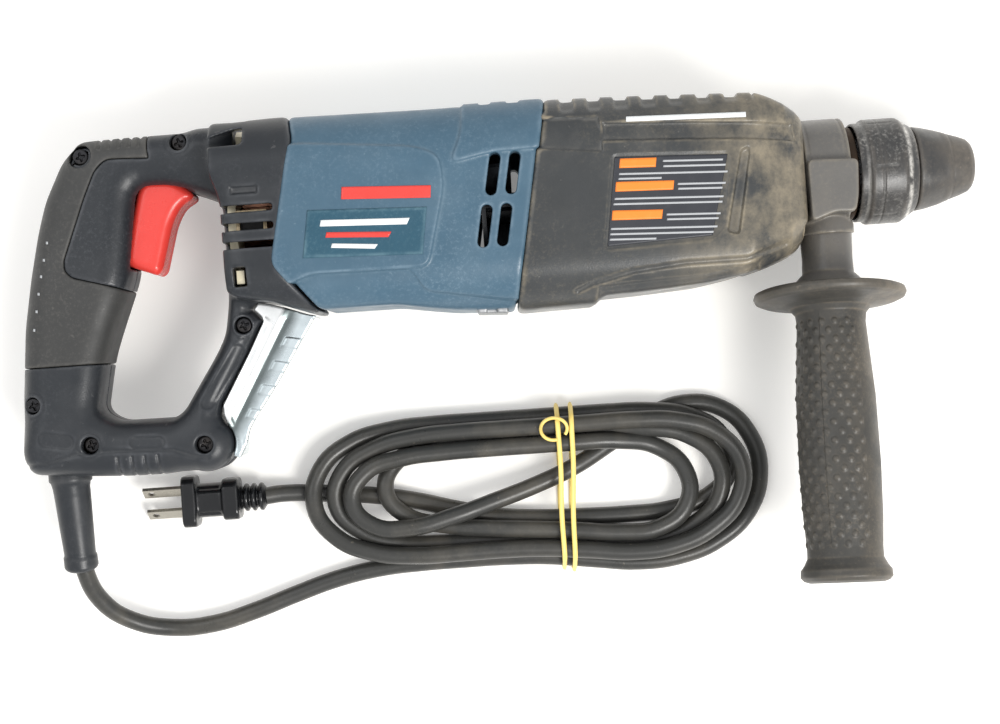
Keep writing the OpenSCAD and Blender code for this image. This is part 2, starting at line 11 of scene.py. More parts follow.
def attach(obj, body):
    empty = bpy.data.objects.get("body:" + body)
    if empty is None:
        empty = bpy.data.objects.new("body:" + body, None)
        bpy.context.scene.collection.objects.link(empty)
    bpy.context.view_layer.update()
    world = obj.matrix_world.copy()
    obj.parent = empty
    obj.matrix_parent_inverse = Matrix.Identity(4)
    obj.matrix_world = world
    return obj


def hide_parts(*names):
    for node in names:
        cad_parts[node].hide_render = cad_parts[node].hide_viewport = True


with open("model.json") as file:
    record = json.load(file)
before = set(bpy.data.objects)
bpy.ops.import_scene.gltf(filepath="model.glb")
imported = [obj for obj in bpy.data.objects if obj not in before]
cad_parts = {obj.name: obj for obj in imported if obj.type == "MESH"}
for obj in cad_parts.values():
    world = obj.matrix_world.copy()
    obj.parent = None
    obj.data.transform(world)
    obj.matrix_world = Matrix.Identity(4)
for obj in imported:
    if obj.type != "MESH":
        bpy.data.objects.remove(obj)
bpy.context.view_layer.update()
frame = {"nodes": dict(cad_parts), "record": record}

# ---- the tool's own frame
# Millimetres: x along the spindle, y towards the tool's top, z up from the surface.
BORE_X = 62.0  # the tool bore's mount, ahead of the nose's front face
bore = next(m for m in frame["record"]["mounts"] if m["name"] == "tool_bore")
ORIGIN = Vector((bore["pos_m"][0] - BORE_X / 1000, bore["pos_m"][1], 0))
AXIS_Z = bore["pos_m"][2] * 1000
HALF = AXIS_Z  # half of the housing's thickness
BELLY_Y, CROWN_Y, TOP_Z = -52, 40, 82  # the housing lies between these
MOTOR_Y = -6.0  # the motor's axis lies this far below the spindle's
MOTOR_BORE = 37.6
NECK_R = 21.5
REAR_HALF = 40.0
GRIP_HALF = 19.0
RELIEF_X = -331
BOSS_R = 12.0  # the hook's boss on the handle
HOOK_PIVOT = (-268.0, -98.7)
HOOK_BEND, HOOK_TILT = (-230.1, -42.0), -30.2
SIDE_X, SIDE_LIFT, SIDE_LEAN = 8.5, 8.0, 2.0
SCREW_PLACES = [(-313.4, 28.8), (-270.5, 32), (-341, -77), (-317, -95.7), (-248, -48.6)]
TRIGGER_DIR = (-0.966, 0.259)


def row(x, y, z):
    """A point of the tool's frame in the row frame, in metres."""
    return Vector((x, y, z)) / 1000 + ORIGIN


def added(name, data):
    """A new object in the scene."""
    item = bpy.data.objects.new(name, data)
    bpy.context.scene.collection.objects.link(item)
    return item


# ---- camera
CAMERA_PLACE = (-138.7, -72.1, 785.6)
CAMERA_TURN = math.radians(-4)
CAMERA_LENS = 60.84
camera = added("camera", bpy.data.cameras.new("camera"))
camera.location = row(*CAMERA_PLACE)
camera.rotation_euler = (0, 0, CAMERA_TURN)
camera.data.lens = CAMERA_LENS
camera.data.sensor_width = 36
bpy.context.scene.camera = camera

# ---- materials


class Paint:
    """A small builder for one procedural material."""

    def __init__(self, name):
        self.material = bpy.data.materials.new(name)
        self.material.use_nodes = True
        self.tree = self.material.node_tree
        self.shader = self.tree.nodes["Principled BSDF"]
        self.place = self.tree.nodes.new("ShaderNodeTexCoord").outputs["Object"]

    def feed(self, node, values):
        """Links or sets some of a node's inputs."""
        for at, value in values.items():
            if isinstance(value, bpy.types.NodeSocket):
                self.tree.links.new(value, node.inputs[at])
            else:
                node.inputs[at].default_value = value

    def stretched(self, scale):
        node = self.tree.nodes.new("ShaderNodeMapping")
        self.feed(node, {"Scale": scale, "Vector": self.place})
        return node.outputs["Vector"]

    def noise(self, scale, detail, rough, where=None, seed=0.0):
        node = self.tree.nodes.new("ShaderNodeTexNoise")
        node.noise_dimensions = "4D"
        self.feed(node, {"W": seed, "Scale": scale, "Detail": detail, "Roughness": rough})
        self.feed(node, {"Vector": where or self.place})
        return node.outputs["Fac"]

    def ramp(self, value, low, high, top=1.0):
        node = self.tree.nodes.new("ShaderNodeMapRange")
        self.feed(node, {"Value": value, "From Min": low, "From Max": high, "To Max": top})
        return node.outputs["Result"]

    def patches(self, scale, detail, rough, seed, low, high, top=1.0):
        """Soft blotches of noise, from 0 where it is low to top where it is high."""
        return self.ramp(self.noise(scale, detail, rough, seed=seed), low, high, top)

    def coordinate(self, axis):
        node = self.tree.nodes.new("ShaderNodeSeparateXYZ")
        self.feed(node, {0: self.place})
        return node.outputs[axis]

    def attribute(self, name):
        node = self.tree.nodes.new("ShaderNodeAttribute")
        node.attribute_name = name
        return node.outputs["Fac"]

    def maths(self, kind, a, b):
        node = self.tree.nodes.new("ShaderNodeMath")
        node.operation = kind
        self.feed(node, {0: a, 1: b})
        return node.outputs[0]

    def both(self, a, b):
        return self.maths("MULTIPLY", a, b)

    def mix(self, share, a, b):
        node = self.tree.nodes.new("ShaderNodeMix")
        node.data_type = "RGBA"
        a, b = ((*c, 1) if isinstance(c, tuple) else c for c in (a, b))
        self.feed(node, {0: share, 6: a, 7: b})
        return node.outputs[2]

    def bump(self, height, distance):
        node = self.tree.nodes.new("ShaderNodeBump")
        self.feed(node, {"Distance": distance, "Strength": 0.5, "Height": height})
        self.feed(self.shader, {"Normal": node.outputs["Normal"]})

    def finish(self, name, colour, uneven, rough):
        """Gives the shader its colour and an uneven roughness, and keeps the material."""
        self.feed(self.shader, {"Base Color": colour, "Roughness": self.maths("ADD", uneven, rough)})
        MATERIALS[name] = self.material


def srgb(colour):
    """An 8-bit screen colour as linear light."""
    return tuple(((c / 255 + 0.055) / 1.055) ** 2.4 if c > 10 else c / 255 / 12.92 for c in colour)


def darker(colour, share):
    return tuple(c * share for c in colour)


MATERIALS = {}


def plastic(name, base, dust, worn, rough=0.42, grain=0.0001, dusty=0.22, wear=0.35,
            speckled=0.45, soil=None, ring=None, seed=0.0):
    """Moulded plastic or rubber with patchy dust, pale worn edges, fine specks and a moulded grain.

    soil is an axis, the places where caked dirt starts and ends along it, and how much there is.
    ring is the place along X of a band that is rubbed pale, its half width, and how much."""
    base, dust, worn = srgb(base), srgb(dust), srgb(worn)
    p = Paint(name)
    film = p.patches(38, 5, 0.62, seed, 0.45, 0.75, dusty)
    colour = p.mix(p.both(film, p.patches(9, 3, 0.5, seed + 3, 0.35, 0.7)), base, dust)
    colour = p.mix(p.patches(130, 3, 0.6, seed + 7, 0.3, 0.7, 0.25), colour, darker(base, 0.72))
    colour = p.mix(p.patches(260, 2, 0.7, seed + 11, 0.68, 0.74, 0.4), colour, dust)
    specks = p.patches(620, 3, 0.8, seed + 15, 0.5, 0.72, 0.8)
    colour = p.mix(p.both(specks, p.patches(24, 4, 0.6, seed + 17, 0.4, 0.7, speckled)), colour, worn)
    rubbed = p.patches(70, 4, 0.7, seed + 5, 0.38, 0.62, wear)
    colour = p.mix(p.both(p.attribute("edge"), rubbed), colour, worn)
    settled_dust = p.patches(80, 5, 0.7, seed + 9, 0.35, 0.65, 0.4)
    colour = p.mix(p.both(p.attribute("grime"), settled_dust), colour, dust)
    if soil:
        axis, start, end, most = soil
        caked = p.patches(46, 6, 0.7, seed + 13, 0.4, 0.68)
        colour = p.mix(p.both(p.ramp(p.coordinate(axis), start, end, most), caked), colour, worn)
    if ring:
        centre, half_wide, most = ring
        away = p.maths("ABSOLUTE", p.maths("SUBTRACT", p.coordinate("X"), centre), 0)
        broken = p.patches(150, 5, 0.8, seed, 0.4, 0.6)
        colour = p.mix(p.both(p.ramp(away, half_wide, 0, most), broken), colour, worn)
    p.feed(p.shader, {"Specular IOR Level": 0.38})
    p.finish(name, colour, p.patches(60, 4, 0.6, seed + 2, 0.3, 0.8, 0.25), rough - 0.1)
    p.bump(p.noise(1500, 2, 0.5, seed=seed), grain)


def metal(name, base, stain, rough=0.35, brushed=(1, 1, 1), stains=0.5, seed=0.0):
    """Bare or plated metal with stains, and fine marks along one direction."""
    base, stain = srgb(base), srgb(stain)
    p = Paint(name)
    marks = p.noise(700, 3, 0.6, where=p.stretched(brushed), seed=seed)
    colour = p.mix(p.patches(60, 5, 0.65, seed + 1, 0.45, 0.75, stains), base, stain)
    colour = p.mix(p.ramp(marks, 0.35, 0.7, 0.3), colour, darker(base, 0.6))
    p.feed(p.shader, {"Metallic": METALLIC})
    p.finish(name, colour, p.ramp(marks, 0.3, 0.7, 0.2), rough - 0.1)
    p.bump(marks, 0.00003)


def bent_zinc(name, painted_highlight, bend_shade_and_stain, base, seed=0.0):
    """Zinc plate painted nearly white up to the hook's bend as a painted highlight, with painted shade along
    the bend and the plate's own blue grey past it.
    """
    painted_highlight, bend_shade_and_stain, base = srgb(painted_highlight), srgb(bend_shade_and_stain), srgb(base)
    p = Paint(name)
    turn = math.radians(HOOK_TILT)
    run = Vector((math.cos(turn), math.sin(turn)))
    across = p.maths("ADD", p.both(p.coordinate("X"), run.x), p.both(p.coordinate("Y"), run.y))
    start = row(*HOOK_BEND, 0).xy.dot(run)
    streaks = p.noise(90, 4, 0.6, where=p.stretched((1, 1, 0.2)), seed=seed)
    past = p.maths("ADD", across, p.both(streaks, 0.0012))
    # painted highlight on the flat face up to the bend, fading into painted shade along the bend; the streaks
    # wobble the line between them
    colour = p.mix(p.ramp(past, start, start + 0.0016), painted_highlight, bend_shade_and_stain)
    # past the painted shade, the plate's own blue grey
    colour = p.mix(p.ramp(past, start + 0.005, start + 0.0095), colour, base)
    # random darker stains, in the same colour as the bend's painted shade
    colour = p.mix(p.patches(60, 5, 0.65, seed + 1, 0.45, 0.75, 0.3), colour, bend_shade_and_stain)
    p.feed(p.shader, {"Metallic": METALLIC})
    p.finish(name, colour, p.ramp(streaks, 0.3, 0.7, 0.2), 0.2)
    p.bump(p.noise(500, 3, 0.6, seed=seed), 0.00003)


def gloss(name, base, rough, seed=0.0):
    """Glossy moulded plastic with faint scuffs."""
    base = srgb(base)
    p = Paint(name)
    scuffed = tuple(min(1, c * 1.25 + 0.03) for c in base)
    colour = p.mix(p.patches(160, 4, 0.7, seed, 0.55, 0.8, 0.35), base, scuffed)
    p.finish(name, colour, p.patches(90, 4, 0.6, seed + 1, 0.3, 0.7, 0.15), rough - 0.07)
    p.bump(p.noise(420, 3, 0.5, seed=seed), 0.00006)


METALLIC = 0.9
plastic("housing_blue", (64, 92, 110), (118, 138, 150), (142, 162, 176), 0.38, dusty=0.3, seed=1)
plastic("black_plastic", (35, 38, 42), (88, 88, 88), (98, 100, 104), 0.36, seed=2)
plastic("cover_black", (56, 58, 59), (118, 115, 109), (200, 184, 154), 0.32, dusty=0.45, wear=0.36,
        speckled=0.14, soil=("X", 0.06, 0.15, 0.6), seed=3)
plastic("soft_rubber", (54, 54, 53), (96, 94, 90), (106, 103, 98), 0.52, seed=4)
plastic("grip_rubber", (58, 57, 54), (112, 104, 92), (150, 136, 116), 0.46, dusty=0.5,
        soil=("X", 0.142, 0.168, 0.5), seed=5)
plastic("cap_rubber", (58, 58, 58), (110, 102, 92), (150, 138, 122), 0.38, dusty=0.5,
        soil=("X", 0.19, 0.211, 0.5), seed=26)
plastic("clamp_black", (97, 95, 92), (130, 120, 104), (166, 154, 132), 0.36, dusty=0.7, seed=25)
plastic("chuck_black", (56, 56, 56), (112, 104, 95), (230, 226, 218), 0.32, wear=0.25,
        ring=(0.1797, 0.0014, 0.9), seed=6)
plastic("ivory_plastic", (228, 218, 190), (170, 160, 130), (240, 235, 220), seed=8)
plastic("carbon", (30, 30, 32), (70, 70, 70), (80, 80, 80), 0.6, seed=16)
plastic("cord_rubber", (54, 54, 52), (120, 113, 100), (96, 94, 88), 0.34, grain=0.00008, dusty=0.6, seed=17)
plastic("label_teal", (36, 76, 94), (70, 104, 120), (110, 140, 150), 0.4, seed=22)
metal("die_cast", (168, 170, 172), (110, 108, 104), 0.5, seed=9)
metal("steel", (170, 172, 175), (112, 106, 98), 0.33, (1, 6, 6), seed=10)
metal("dark_steel", (52, 52, 54), (88, 78, 68), 0.45, seed=11)
metal("rusty_steel", (62, 52, 44), (98, 72, 50), 0.6, (6, 1, 1), seed=12)
metal("brass", (190, 172, 140), (140, 116, 84), 0.35, seed=14)
metal("copper", (158, 112, 90), (110, 72, 54), 0.42, seed=15)
metal("blade_metal", (168, 164, 154), (128, 120, 106), 0.3, (1, 8, 8), stains=0.25, seed=19)
# painted highlight up to the bend, painted shade along the bend (also used for stains), then the plate's own
# blue grey
bent_zinc("zinc_steel", (250, 251, 250), (112, 120, 120), (216, 226, 229), seed=13)
gloss("red_plastic", (214, 62, 54), 0.26, seed=7)
gloss("plug_vinyl", (16, 17, 19), 0.2, seed=18)
gloss("band_rubber", (240, 212, 120), 0.4, seed=20)
gloss("label_dark", (42, 44, 50), 0.4, seed=21)
gloss("label_orange", (240, 130, 40), 0.4, seed=23)
gloss("label_line", (168, 170, 172), 0.5, seed=27)
gloss("label_white", (226, 228, 228), 0.45, seed=24)

# ---- cord
CORD_D = 8.0
# Route in the tool's frame, as x, y and height: from the strain relief to the plug
LEAD = [
    (-331, -132, 37.4), (-331, -142, 35.2), (-331, -151.5, 32.9), (-330.3, -161, 28), (-327, -170, 21),
    (-319, -178, 13.5), (-308, -183, 8), (-296, -185.5, 5.2), (-282, -185, 4.2), (-265, -181, 4.1),
    (-248, -175, 4.1), (-230, -169, 4.1), (-212, -164, 4.1)
]
OUTER_LOOP = [
    (-189, -162, 4), (-160, -162, 4), (-130, -162, 4), (-105, -165, 4), (-84, -169.5, 4), (-65, -169, 4),
    (-45, -163.5, 4), (-29, -153, 4), (-21, -139, 4), (-20, -125, 4), (-24, -111, 4), (-33, -100, 4),
    (-46, -94, 4), (-60, -95, 4), (-73, -101, 4), (-86, -110, 4)
]
DIAGONAL = [
    (-99, -119, 5), (-114, -126, 7), (-134, -132, 9), (-158, -139, 12), (-180, -145, 12),
    (-198.5, -147, 12), (-207, -144.7, 12), (-213.2, -138.5, 12), (-215.5, -130, 13.5),
    (-213.2, -121.5, 15.5), (-207, -115.3, 17.5), (-198.5, -113, 18), (-185, -112, 18), (-165, -111, 13),
    (-140, -111, 12), (-114, -111, 12), (-95, -111, 12)
]
INNER_LOOP = [
    (-79, -111, 11), (-66, -114.5, 9), (-56, -121, 7), (-52, -133, 8), (-54, -145, 12), (-62, -153, 12),
    (-78, -156, 11), (-100, -152, 11), (-130, -149.5, 11), (-150, -148, 8), (-165, -146, 5),
    (-182, -143.4, 5), (-191, -141, 8), (-197.8, -134.6, 11), (-200.2, -125.7, 12), (-197.8, -117, 11),
    (-191.2, -110.8, 9), (-182.5, -108.3, 7), (-172, -107.2, 5), (-160, -106.7, 4), (-137, -106.7, 4),
    (-115, -106.7, 5)
]
SECOND_LOOP = [
    (-98, -107, 9), (-82, -106, 12), (-66, -106, 11), (-52, -110, 10), (-42, -118, 11), (-36, -129, 12),
    (-39, -141, 12), (-48, -151, 9), (-62, -158, 5.5), (-80, -160.5, 4), (-105, -156.5, 4),
    (-130, -153.7, 4), (-160, -153.7, 4), (-182, -154, 4), (-200, -151, 6), (-213, -145, 9),
    (-221, -137, 12), (-223.5, -127, 12), (-219, -117, 12), (-209, -110, 12), (-196, -105, 11),
    (-175, -102.6, 11), (-145, -102.6, 11), (-115, -102.6, 12)
]
TOP_LOOP = [
    (-95, -102.6, 16), (-76, -102, 20), (-58, -103, 18), (-42, -108, 14), (-31, -118, 12),
    (-27.5, -130, 12), (-31, -142, 13), (-41, -152, 16), (-56, -160, 14), (-78, -164.5, 11),
    (-105, -160, 11), (-130, -157.8, 11), (-160, -157.8, 11), (-185, -158.5, 10), (-205, -156, 9),
    (-219, -150, 9), (-229, -141, 11), (-232, -129, 12), (-229, -117, 11), (-219, -106, 8), (-205, -101, 5),
    (-185, -98.5, 4), (-150, -98.5, 4), (-115, -98.5, 5)
]
LAST_LOOP = [
    (-95, -98.5, 9), (-70, -98.5, 12), (-52, -101, 9), (-39, -108, 5), (-32, -118, 4), (-31, -129, 4),
    (-37, -138, 4), (-50, -144, 4), (-70, -146.5, 4), (-100, -146, 4), (-130, -145.3, 4), (-150, -143, 4),
    (-168, -137, 4), (-188, -131, 4), (-212, -128, 4)
]
TAIL = [(-237, -125.5, 5), (-243, -125.5, 7), (-250.5, -126, 8.5)]
SPACING = 4.0
SMOOTHING = 26  # passes over the drawn route
RELIEF_POINTS, PLUG_POINTS = 21, 3  # points at the two ends that don't settle


def run_length(line):
    """How far along a line each of its points lies."""
    return np.concatenate([[0], np.cumsum(np.linalg.norm(np.diff(line, axis=0), axis=1))])


def through(points, spacing):
    """Points at an even spacing on a smooth line through the given ones."""
    p = np.array(points, float)
    p = np.vstack([2 * p[0] - p[1], p, 2 * p[-1] - p[-2]])
    line = []
    for a, b, c, d in zip(p[:-3], p[1:-2], p[2:-1], p[3:]):
        for t in np.linspace(0, 1, 12, endpoint=False):
            line.append(0.5 * (2 * b + (c - a) * t + (2 * a - 5 * b + 4 * c - d) * t**2
                               + (3 * b - a - 3 * c + d) * t**3))
    line = np.array(line + [p[-2]])
    along = run_length(line)
    at = np.linspace(0, along[-1], max(2, round(along[-1] / spacing)))
    return np.column_stack([np.interp(at, along, line[:, k]) for k in range(3)])


def settled(line, rounds=300, apart=8, gap=0.3, sag=0.02):
    """Smooths a cord's line and eases its heights apart wherever it passes over itself."""
    line = line.copy()
    inner = np.arange(1, len(line) - PLUG_POINTS)
    lying = inner[RELIEF_POINTS - 1:]

    def eased(values, passes, free):
        for _ in range(passes):
            values[free] = 0.5 * values[free] + 0.25 * (values[free - 1] + values[free + 1])

    eased(line, SMOOTHING, inner)
    i, j = np.triu_indices(len(line), k=apart)
    flat = np.linalg.norm(line[i, :2] - line[j, :2], axis=1)
    close = flat < CORD_D
    i, j, flat = i[close], j[close], flat[close]
    need = np.sqrt((CORD_D + gap) ** 2 - flat**2)
    above = np.sign(line[i, 2] - line[j, 2] + 1e-6)
    for _ in range(rounds):
        z = line[:, 2].copy()
        short = np.maximum(need - above * (z[i] - z[j]), 0) * 0.7 * above
        push = np.zeros(len(z))
        np.add.at(push, i, short)
        np.add.at(push, j, -short)
        hits = np.bincount(np.concatenate([i[short != 0], j[short != 0]]), minlength=len(z))
        z += push / np.maximum(hits, 1) - sag
        line[lying, 2] = np.maximum(z, CORD_D / 2 + 0.05)[lying]
        eased(line[:, 2], 8, lying)
    return line


route = LEAD + OUTER_LOOP + DIAGONAL + INNER_LOOP + SECOND_LOOP + TOP_LOOP + LAST_LOOP + TAIL
cord_line = settled(through(route, SPACING))


def cord_piece(line, every=5):
    """The cord, as one smooth open curve through every few points of its line."""
    picks = list(range(0, len(line) - every // 2, every)) + [len(line) - 1]
    data = bpy.data.curves.new("mains_cord", "CURVE")
    data.dimensions = "3D"
    data.bevel_depth = CORD_D / 2000
    data.bevel_resolution = 5
    data.resolution_u = 6
    data.use_fill_caps = True
    spline = data.splines.new("BEZIER")
    spline.bezier_points.add(len(picks) - 1)
    for point, at in zip(spline.bezier_points, picks):
        point.co = row(*line[at])
        point.handle_left_type = point.handle_right_type = "AUTO"
    data.materials.append(MATERIALS["cord_rubber"])
    piece = added("mains_cord", data)
    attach(piece, "housing")
    return piece


cord = cord_piece(cord_line)
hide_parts("cord_lead", "cord_hank", "cord_tail")

# ---- shapes from distance fields
# A field is worked out in the tool's frame, in millimetres, and is negative inside the shape.


def larger(a, b, k=0.0):
    """The common part of two shapes, with its edge rounded over about k."""
    if not k:
        return np.maximum(a, b)
    h = np.clip(0.5 + 0.5 * (a - b) / k, 0, 1)
    return b + (a - b) * h + k * h * (1 - h)


def smaller(a, b, k=0.0):
    """Two shapes joined, with a fillet of about k."""
    return -larger(-a, -b, k)


def cut(a, b, k=0.0):
    """Shape a with shape b taken away."""
    return larger(a, -b, k)


def hollow(a, b, c, k=0.0):
    """Shape a without the common part of two others."""
    return cut(a, larger(b, c), k)


def outline(points, x, y):
    """Distance from a closed outline in the XY plane."""
    p = np.array(points, float)
    x, y = np.broadcast_arrays(x, y)
    best = np.full(x.shape, 1e9)
    sign = np.ones(x.shape)
    for (ax, ay), (bx, by) in zip(p, np.roll(p, -1, axis=0)):
        ex, ey = bx - ax, by - ay
        wx, wy = x - ax, y - ay
        t = np.clip((wx * ex + wy * ey) / (ex * ex + ey * ey), 0, 1)
        best = np.minimum(best, (wx - t * ex) ** 2 + (wy - t * ey) ** 2)
        turn = ex * wy - ey * wx
        crossed = ((ay <= y) & (by > y) & (turn > 0)) | ((ay > y) & (by <= y) & (turn < 0))
        sign = np.where(crossed, -sign, sign)
    return sign * np.sqrt(best)


def stroke(points, width, x, y):
    """Distance from a line of even width through some points."""
    p = np.array(points, float)
    best = 1e9
    for (ax, ay), (bx, by) in zip(p[:-1], p[1:]):
        ex, ey = bx - ax, by - ay
        wx, wy = x - ax, y - ay
        t = np.clip((wx * ex + wy * ey) / (ex * ex + ey * ey), 0, 1)
        best = np.minimum(best, np.hypot(wx - t * ex, wy - t * ey))
    return best - width / 2


def rounded(points, radius, steps=4):
    """An outline with its corners eased by curves that start about radius away."""
    p = np.array(points, float)
    made = []
    for before, corner, after in zip(np.roll(p, 1, axis=0), p, np.roll(p, -1, axis=0)):
        into, out = before - corner, after - corner
        reach = min(radius, 0.45 * np.linalg.norm(into), 0.45 * np.linalg.norm(out))
        start = corner + into / np.linalg.norm(into) * reach
        end = corner + out / np.linalg.norm(out) * reach
        for t in np.linspace(0, 1, steps + 1):
            made.append((1 - t) ** 2 * start + 2 * t * (1 - t) * corner + t * t * end)
    return made


def arc(centre, radius, start, end, steps):
    """Points round a centre, from one angle to another in degrees."""
    angles = np.radians(np.linspace(start, end, steps + 1))
    return [(centre[0] + radius * math.cos(a), centre[1] + radius * math.sin(a)) for a in angles]


def plate(flat, z, z0, z1, r):
    """An outline's distance drawn between two heights, with its rims rounded by r."""
    tall = np.abs(z - (z0 + z1) / 2) - (z1 - z0) / 2
    outside = np.hypot(np.maximum(flat + r, 0), np.maximum(tall + r, 0))
    return outside + np.minimum(np.maximum(flat + r, tall + r), 0) - r


def bar_section(y, z, y0, y1, half, r):
    """A rounded rectangle in the YZ plane, centred on the height of the spindle axis."""
    return plate(np.abs(y - (y0 + y1) / 2) - (y1 - y0) / 2, z, AXIS_Z - half, AXIS_Z + half, r)


def from_axis(y, z, at_y=0.0):
    """Distance from the spindle's axis, or from one beside it."""
    return np.hypot(y - at_y, z - AXIS_Z)


def from_place(place, x, y):
    """Distance from an upright line through a place."""
    return np.hypot(x - place[0], y - place[1])


def box(x, y, place, half_x, half_y):
    """Distance from an upright rectangular post, measured along x or y."""
    return np.maximum(np.abs(x - place[0]) - half_x, np.abs(y - place[1]) - half_y)


def within(distance, soft=0.8):
    """1 inside an outline and 0 outside it, with a short slope between."""
    return np.clip(0.5 - distance / soft, 0, 1)


def rising(value, width):
    """0 below 0 and 1 above a width, with an even slope between."""
    return np.clip(value / width, 0, 1)


def stripes(x, spans, soft=0.8):
    """1 on each span of x and 0 between them."""
    return sum(np.clip(0.5 + (b - a) / 2 / soft - np.abs(x - (a + b) / 2) / soft, 0, 1) for a, b in spans)


WEAR_FROM, GRIME_FROM, WEAR_GAIN = 0.012, 0.008, 16  # where marks start, in mesh steps, and their gain


def put(name, points, faces, material, body="housing", slot=None):
    """A mesh piece from points in the tool's frame, with worn edges and dusty hollows marked."""
    slot = slot or material
    mesh = bpy.data.meshes.new(name)
    points = np.asarray(points, float)
    faces = np.asarray(faces, int)
    count, sides = faces.shape
    mesh.vertices.add(len(points))
    mesh.vertices.foreach_set("co", (points / 1000 + np.array(ORIGIN)).astype(np.float32).ravel())
    mesh.loops.add(count * sides)
    mesh.loops.foreach_set("vertex_index", faces.ravel())
    mesh.polygons.add(count)
    mesh.polygons.foreach_set("loop_start", np.arange(0, count * sides, sides))
    mesh.polygons.foreach_set("use_smooth", np.full(count, True))
    mesh.update(calc_edges=True)
    mark_wear(mesh, points, faces)
    mesh.materials.append(MATERIALS[material])
    piece = added(name, mesh)
    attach(piece, body)
    return piece


def mark_wear(mesh, points, faces):
    """Stores how far each point stands out of or sinks into the surface around it."""
    a = faces.ravel()
    b = np.roll(faces, -1, axis=1).ravel()
    ends = np.concatenate([a, b])
    other = np.concatenate([b, a])
    number = np.maximum(np.bincount(ends, minlength=len(points)), 1)

    def around(values):
        return np.bincount(ends, values[other], minlength=len(points)) / number

    normal = np.cross(points[faces[:, 2]] - points[faces[:, 0]], points[faces[:, -1]] - points[faces[:, 1]])
    normal = np.repeat(normal, faces.shape[1], axis=0)
    summed = np.column_stack([np.bincount(a, normal[:, k], minlength=len(points)) for k in range(3)])
    summed /= np.maximum(np.linalg.norm(summed, axis=1), 1e-9)[:, None]
    mean = np.column_stack([around(points[:, k]) for k in range(3)])
    size = np.median(np.linalg.norm(points[a] - points[b], axis=1))
    curve = ((points - mean) * summed).sum(axis=1) / size
    for _ in range(3):
        curve = 0.4 * curve + 0.6 * around(curve)
    for name, values in (("edge", curve - WEAR_FROM), ("grime", -curve - GRIME_FROM)):
        layer = mesh.attributes.new(name, "FLOAT", "POINT")
        layer.data.foreach_set("value", np.clip(values * WEAR_GAIN, 0, 1).astype(np.float32))


def surface(name, field, lo, hi, step, material, body="housing", slot=None):
    """The skin of a field, as one smooth mesh of quads, and the height of its top at each place."""
    axes = [np.arange(a - 2 * step, b + 3 * step, step) for a, b in zip(lo, hi)]
    shape = tuple(len(a) for a in axes)
    x, y, z = np.meshgrid(*axes, indexing="ij", sparse=True)
    value = np.broadcast_to(field(x, y, z), shape).astype(np.float32)
    for k in range(3):
        rim = np.moveaxis(value, k, 0)
        rim[0] = np.maximum(rim[0], step)
        rim[-1] = np.maximum(rim[-1], step)
    inside = value < 0
    cells = tuple(n - 1 for n in shape)
    quads, owners, places = [], [], []
    for k in range(3):
        low = tuple(slice(None, -1) if n == k else slice(None) for n in range(3))
        high = tuple(slice(1, None) if n == k else slice(None) for n in range(3))
        at = np.argwhere(inside[low] != inside[high])
        first, last = value[low][tuple(at.T)], value[high][tuple(at.T)]
        place = at.astype(float)
        place[:, k] += first / (first - last)
        corners = []
        for back_a, back_b in ((1, 1), (0, 1), (0, 0), (1, 0)):
            cell = at.copy()
            cell[:, (k + 1) % 3] -= back_a
            cell[:, (k + 2) % 3] -= back_b
            corners.append(np.ravel_multi_index(cell.T, cells))
            owners.append(corners[-1])
            places.append(place)
        quad = np.column_stack(corners)
        quads.append(np.where((first < 0)[:, None], quad, quad[:, ::-1]))
    used, index = np.unique(np.concatenate(owners), return_inverse=True)
    places = np.concatenate(places)
    number = np.bincount(index)
    points = np.column_stack([np.bincount(index, places[:, k]) / number for k in range(3)])
    points = points * step + [a[0] for a in axes]
    faces = np.searchsorted(used, np.concatenate(quads))
    piece = put(name, points, faces, material, body, slot)
    full = inside.any(axis=2)
    top = shape[2] - 1 - np.argmax(inside[:, :, ::-1], axis=2)
    columns = np.ix_(range(shape[0]), range(shape[1]))
    low = value[columns[0], columns[1], top]
    high = value[columns[0], columns[1], np.minimum(top + 1, shape[2] - 1)]
    height = axes[2][0] + step * (top + low / np.minimum(low - high, -1e-6))
    return piece, (axes[0], axes[1], np.where(full, height, np.nan))


def between(u, v, a, b, c, d):
    """A value at u, v between four corners that follow each other round."""
    return (1 - u) * (1 - v) * a + u * (1 - v) * b + u * v * c + (1 - u) * v * d


def height_at(top, x, y):
    """The height of a surface's top over some places."""
    ax, ay, height = top
    i = np.clip((x - ax[0]) / (ax[1] - ax[0]), 0, len(ax) - 1.001)
    j = np.clip((y - ay[0]) / (ay[1] - ay[0]), 0, len(ay) - 1.001)
    a, b = i.astype(int), j.astype(int)
    return between(i - a, j - b, height[a, b], height[a + 1, b], height[a + 1, b + 1], height[a, b + 1])


DECAL_SINK = 0.4  # how far a film's underside lies below the surface


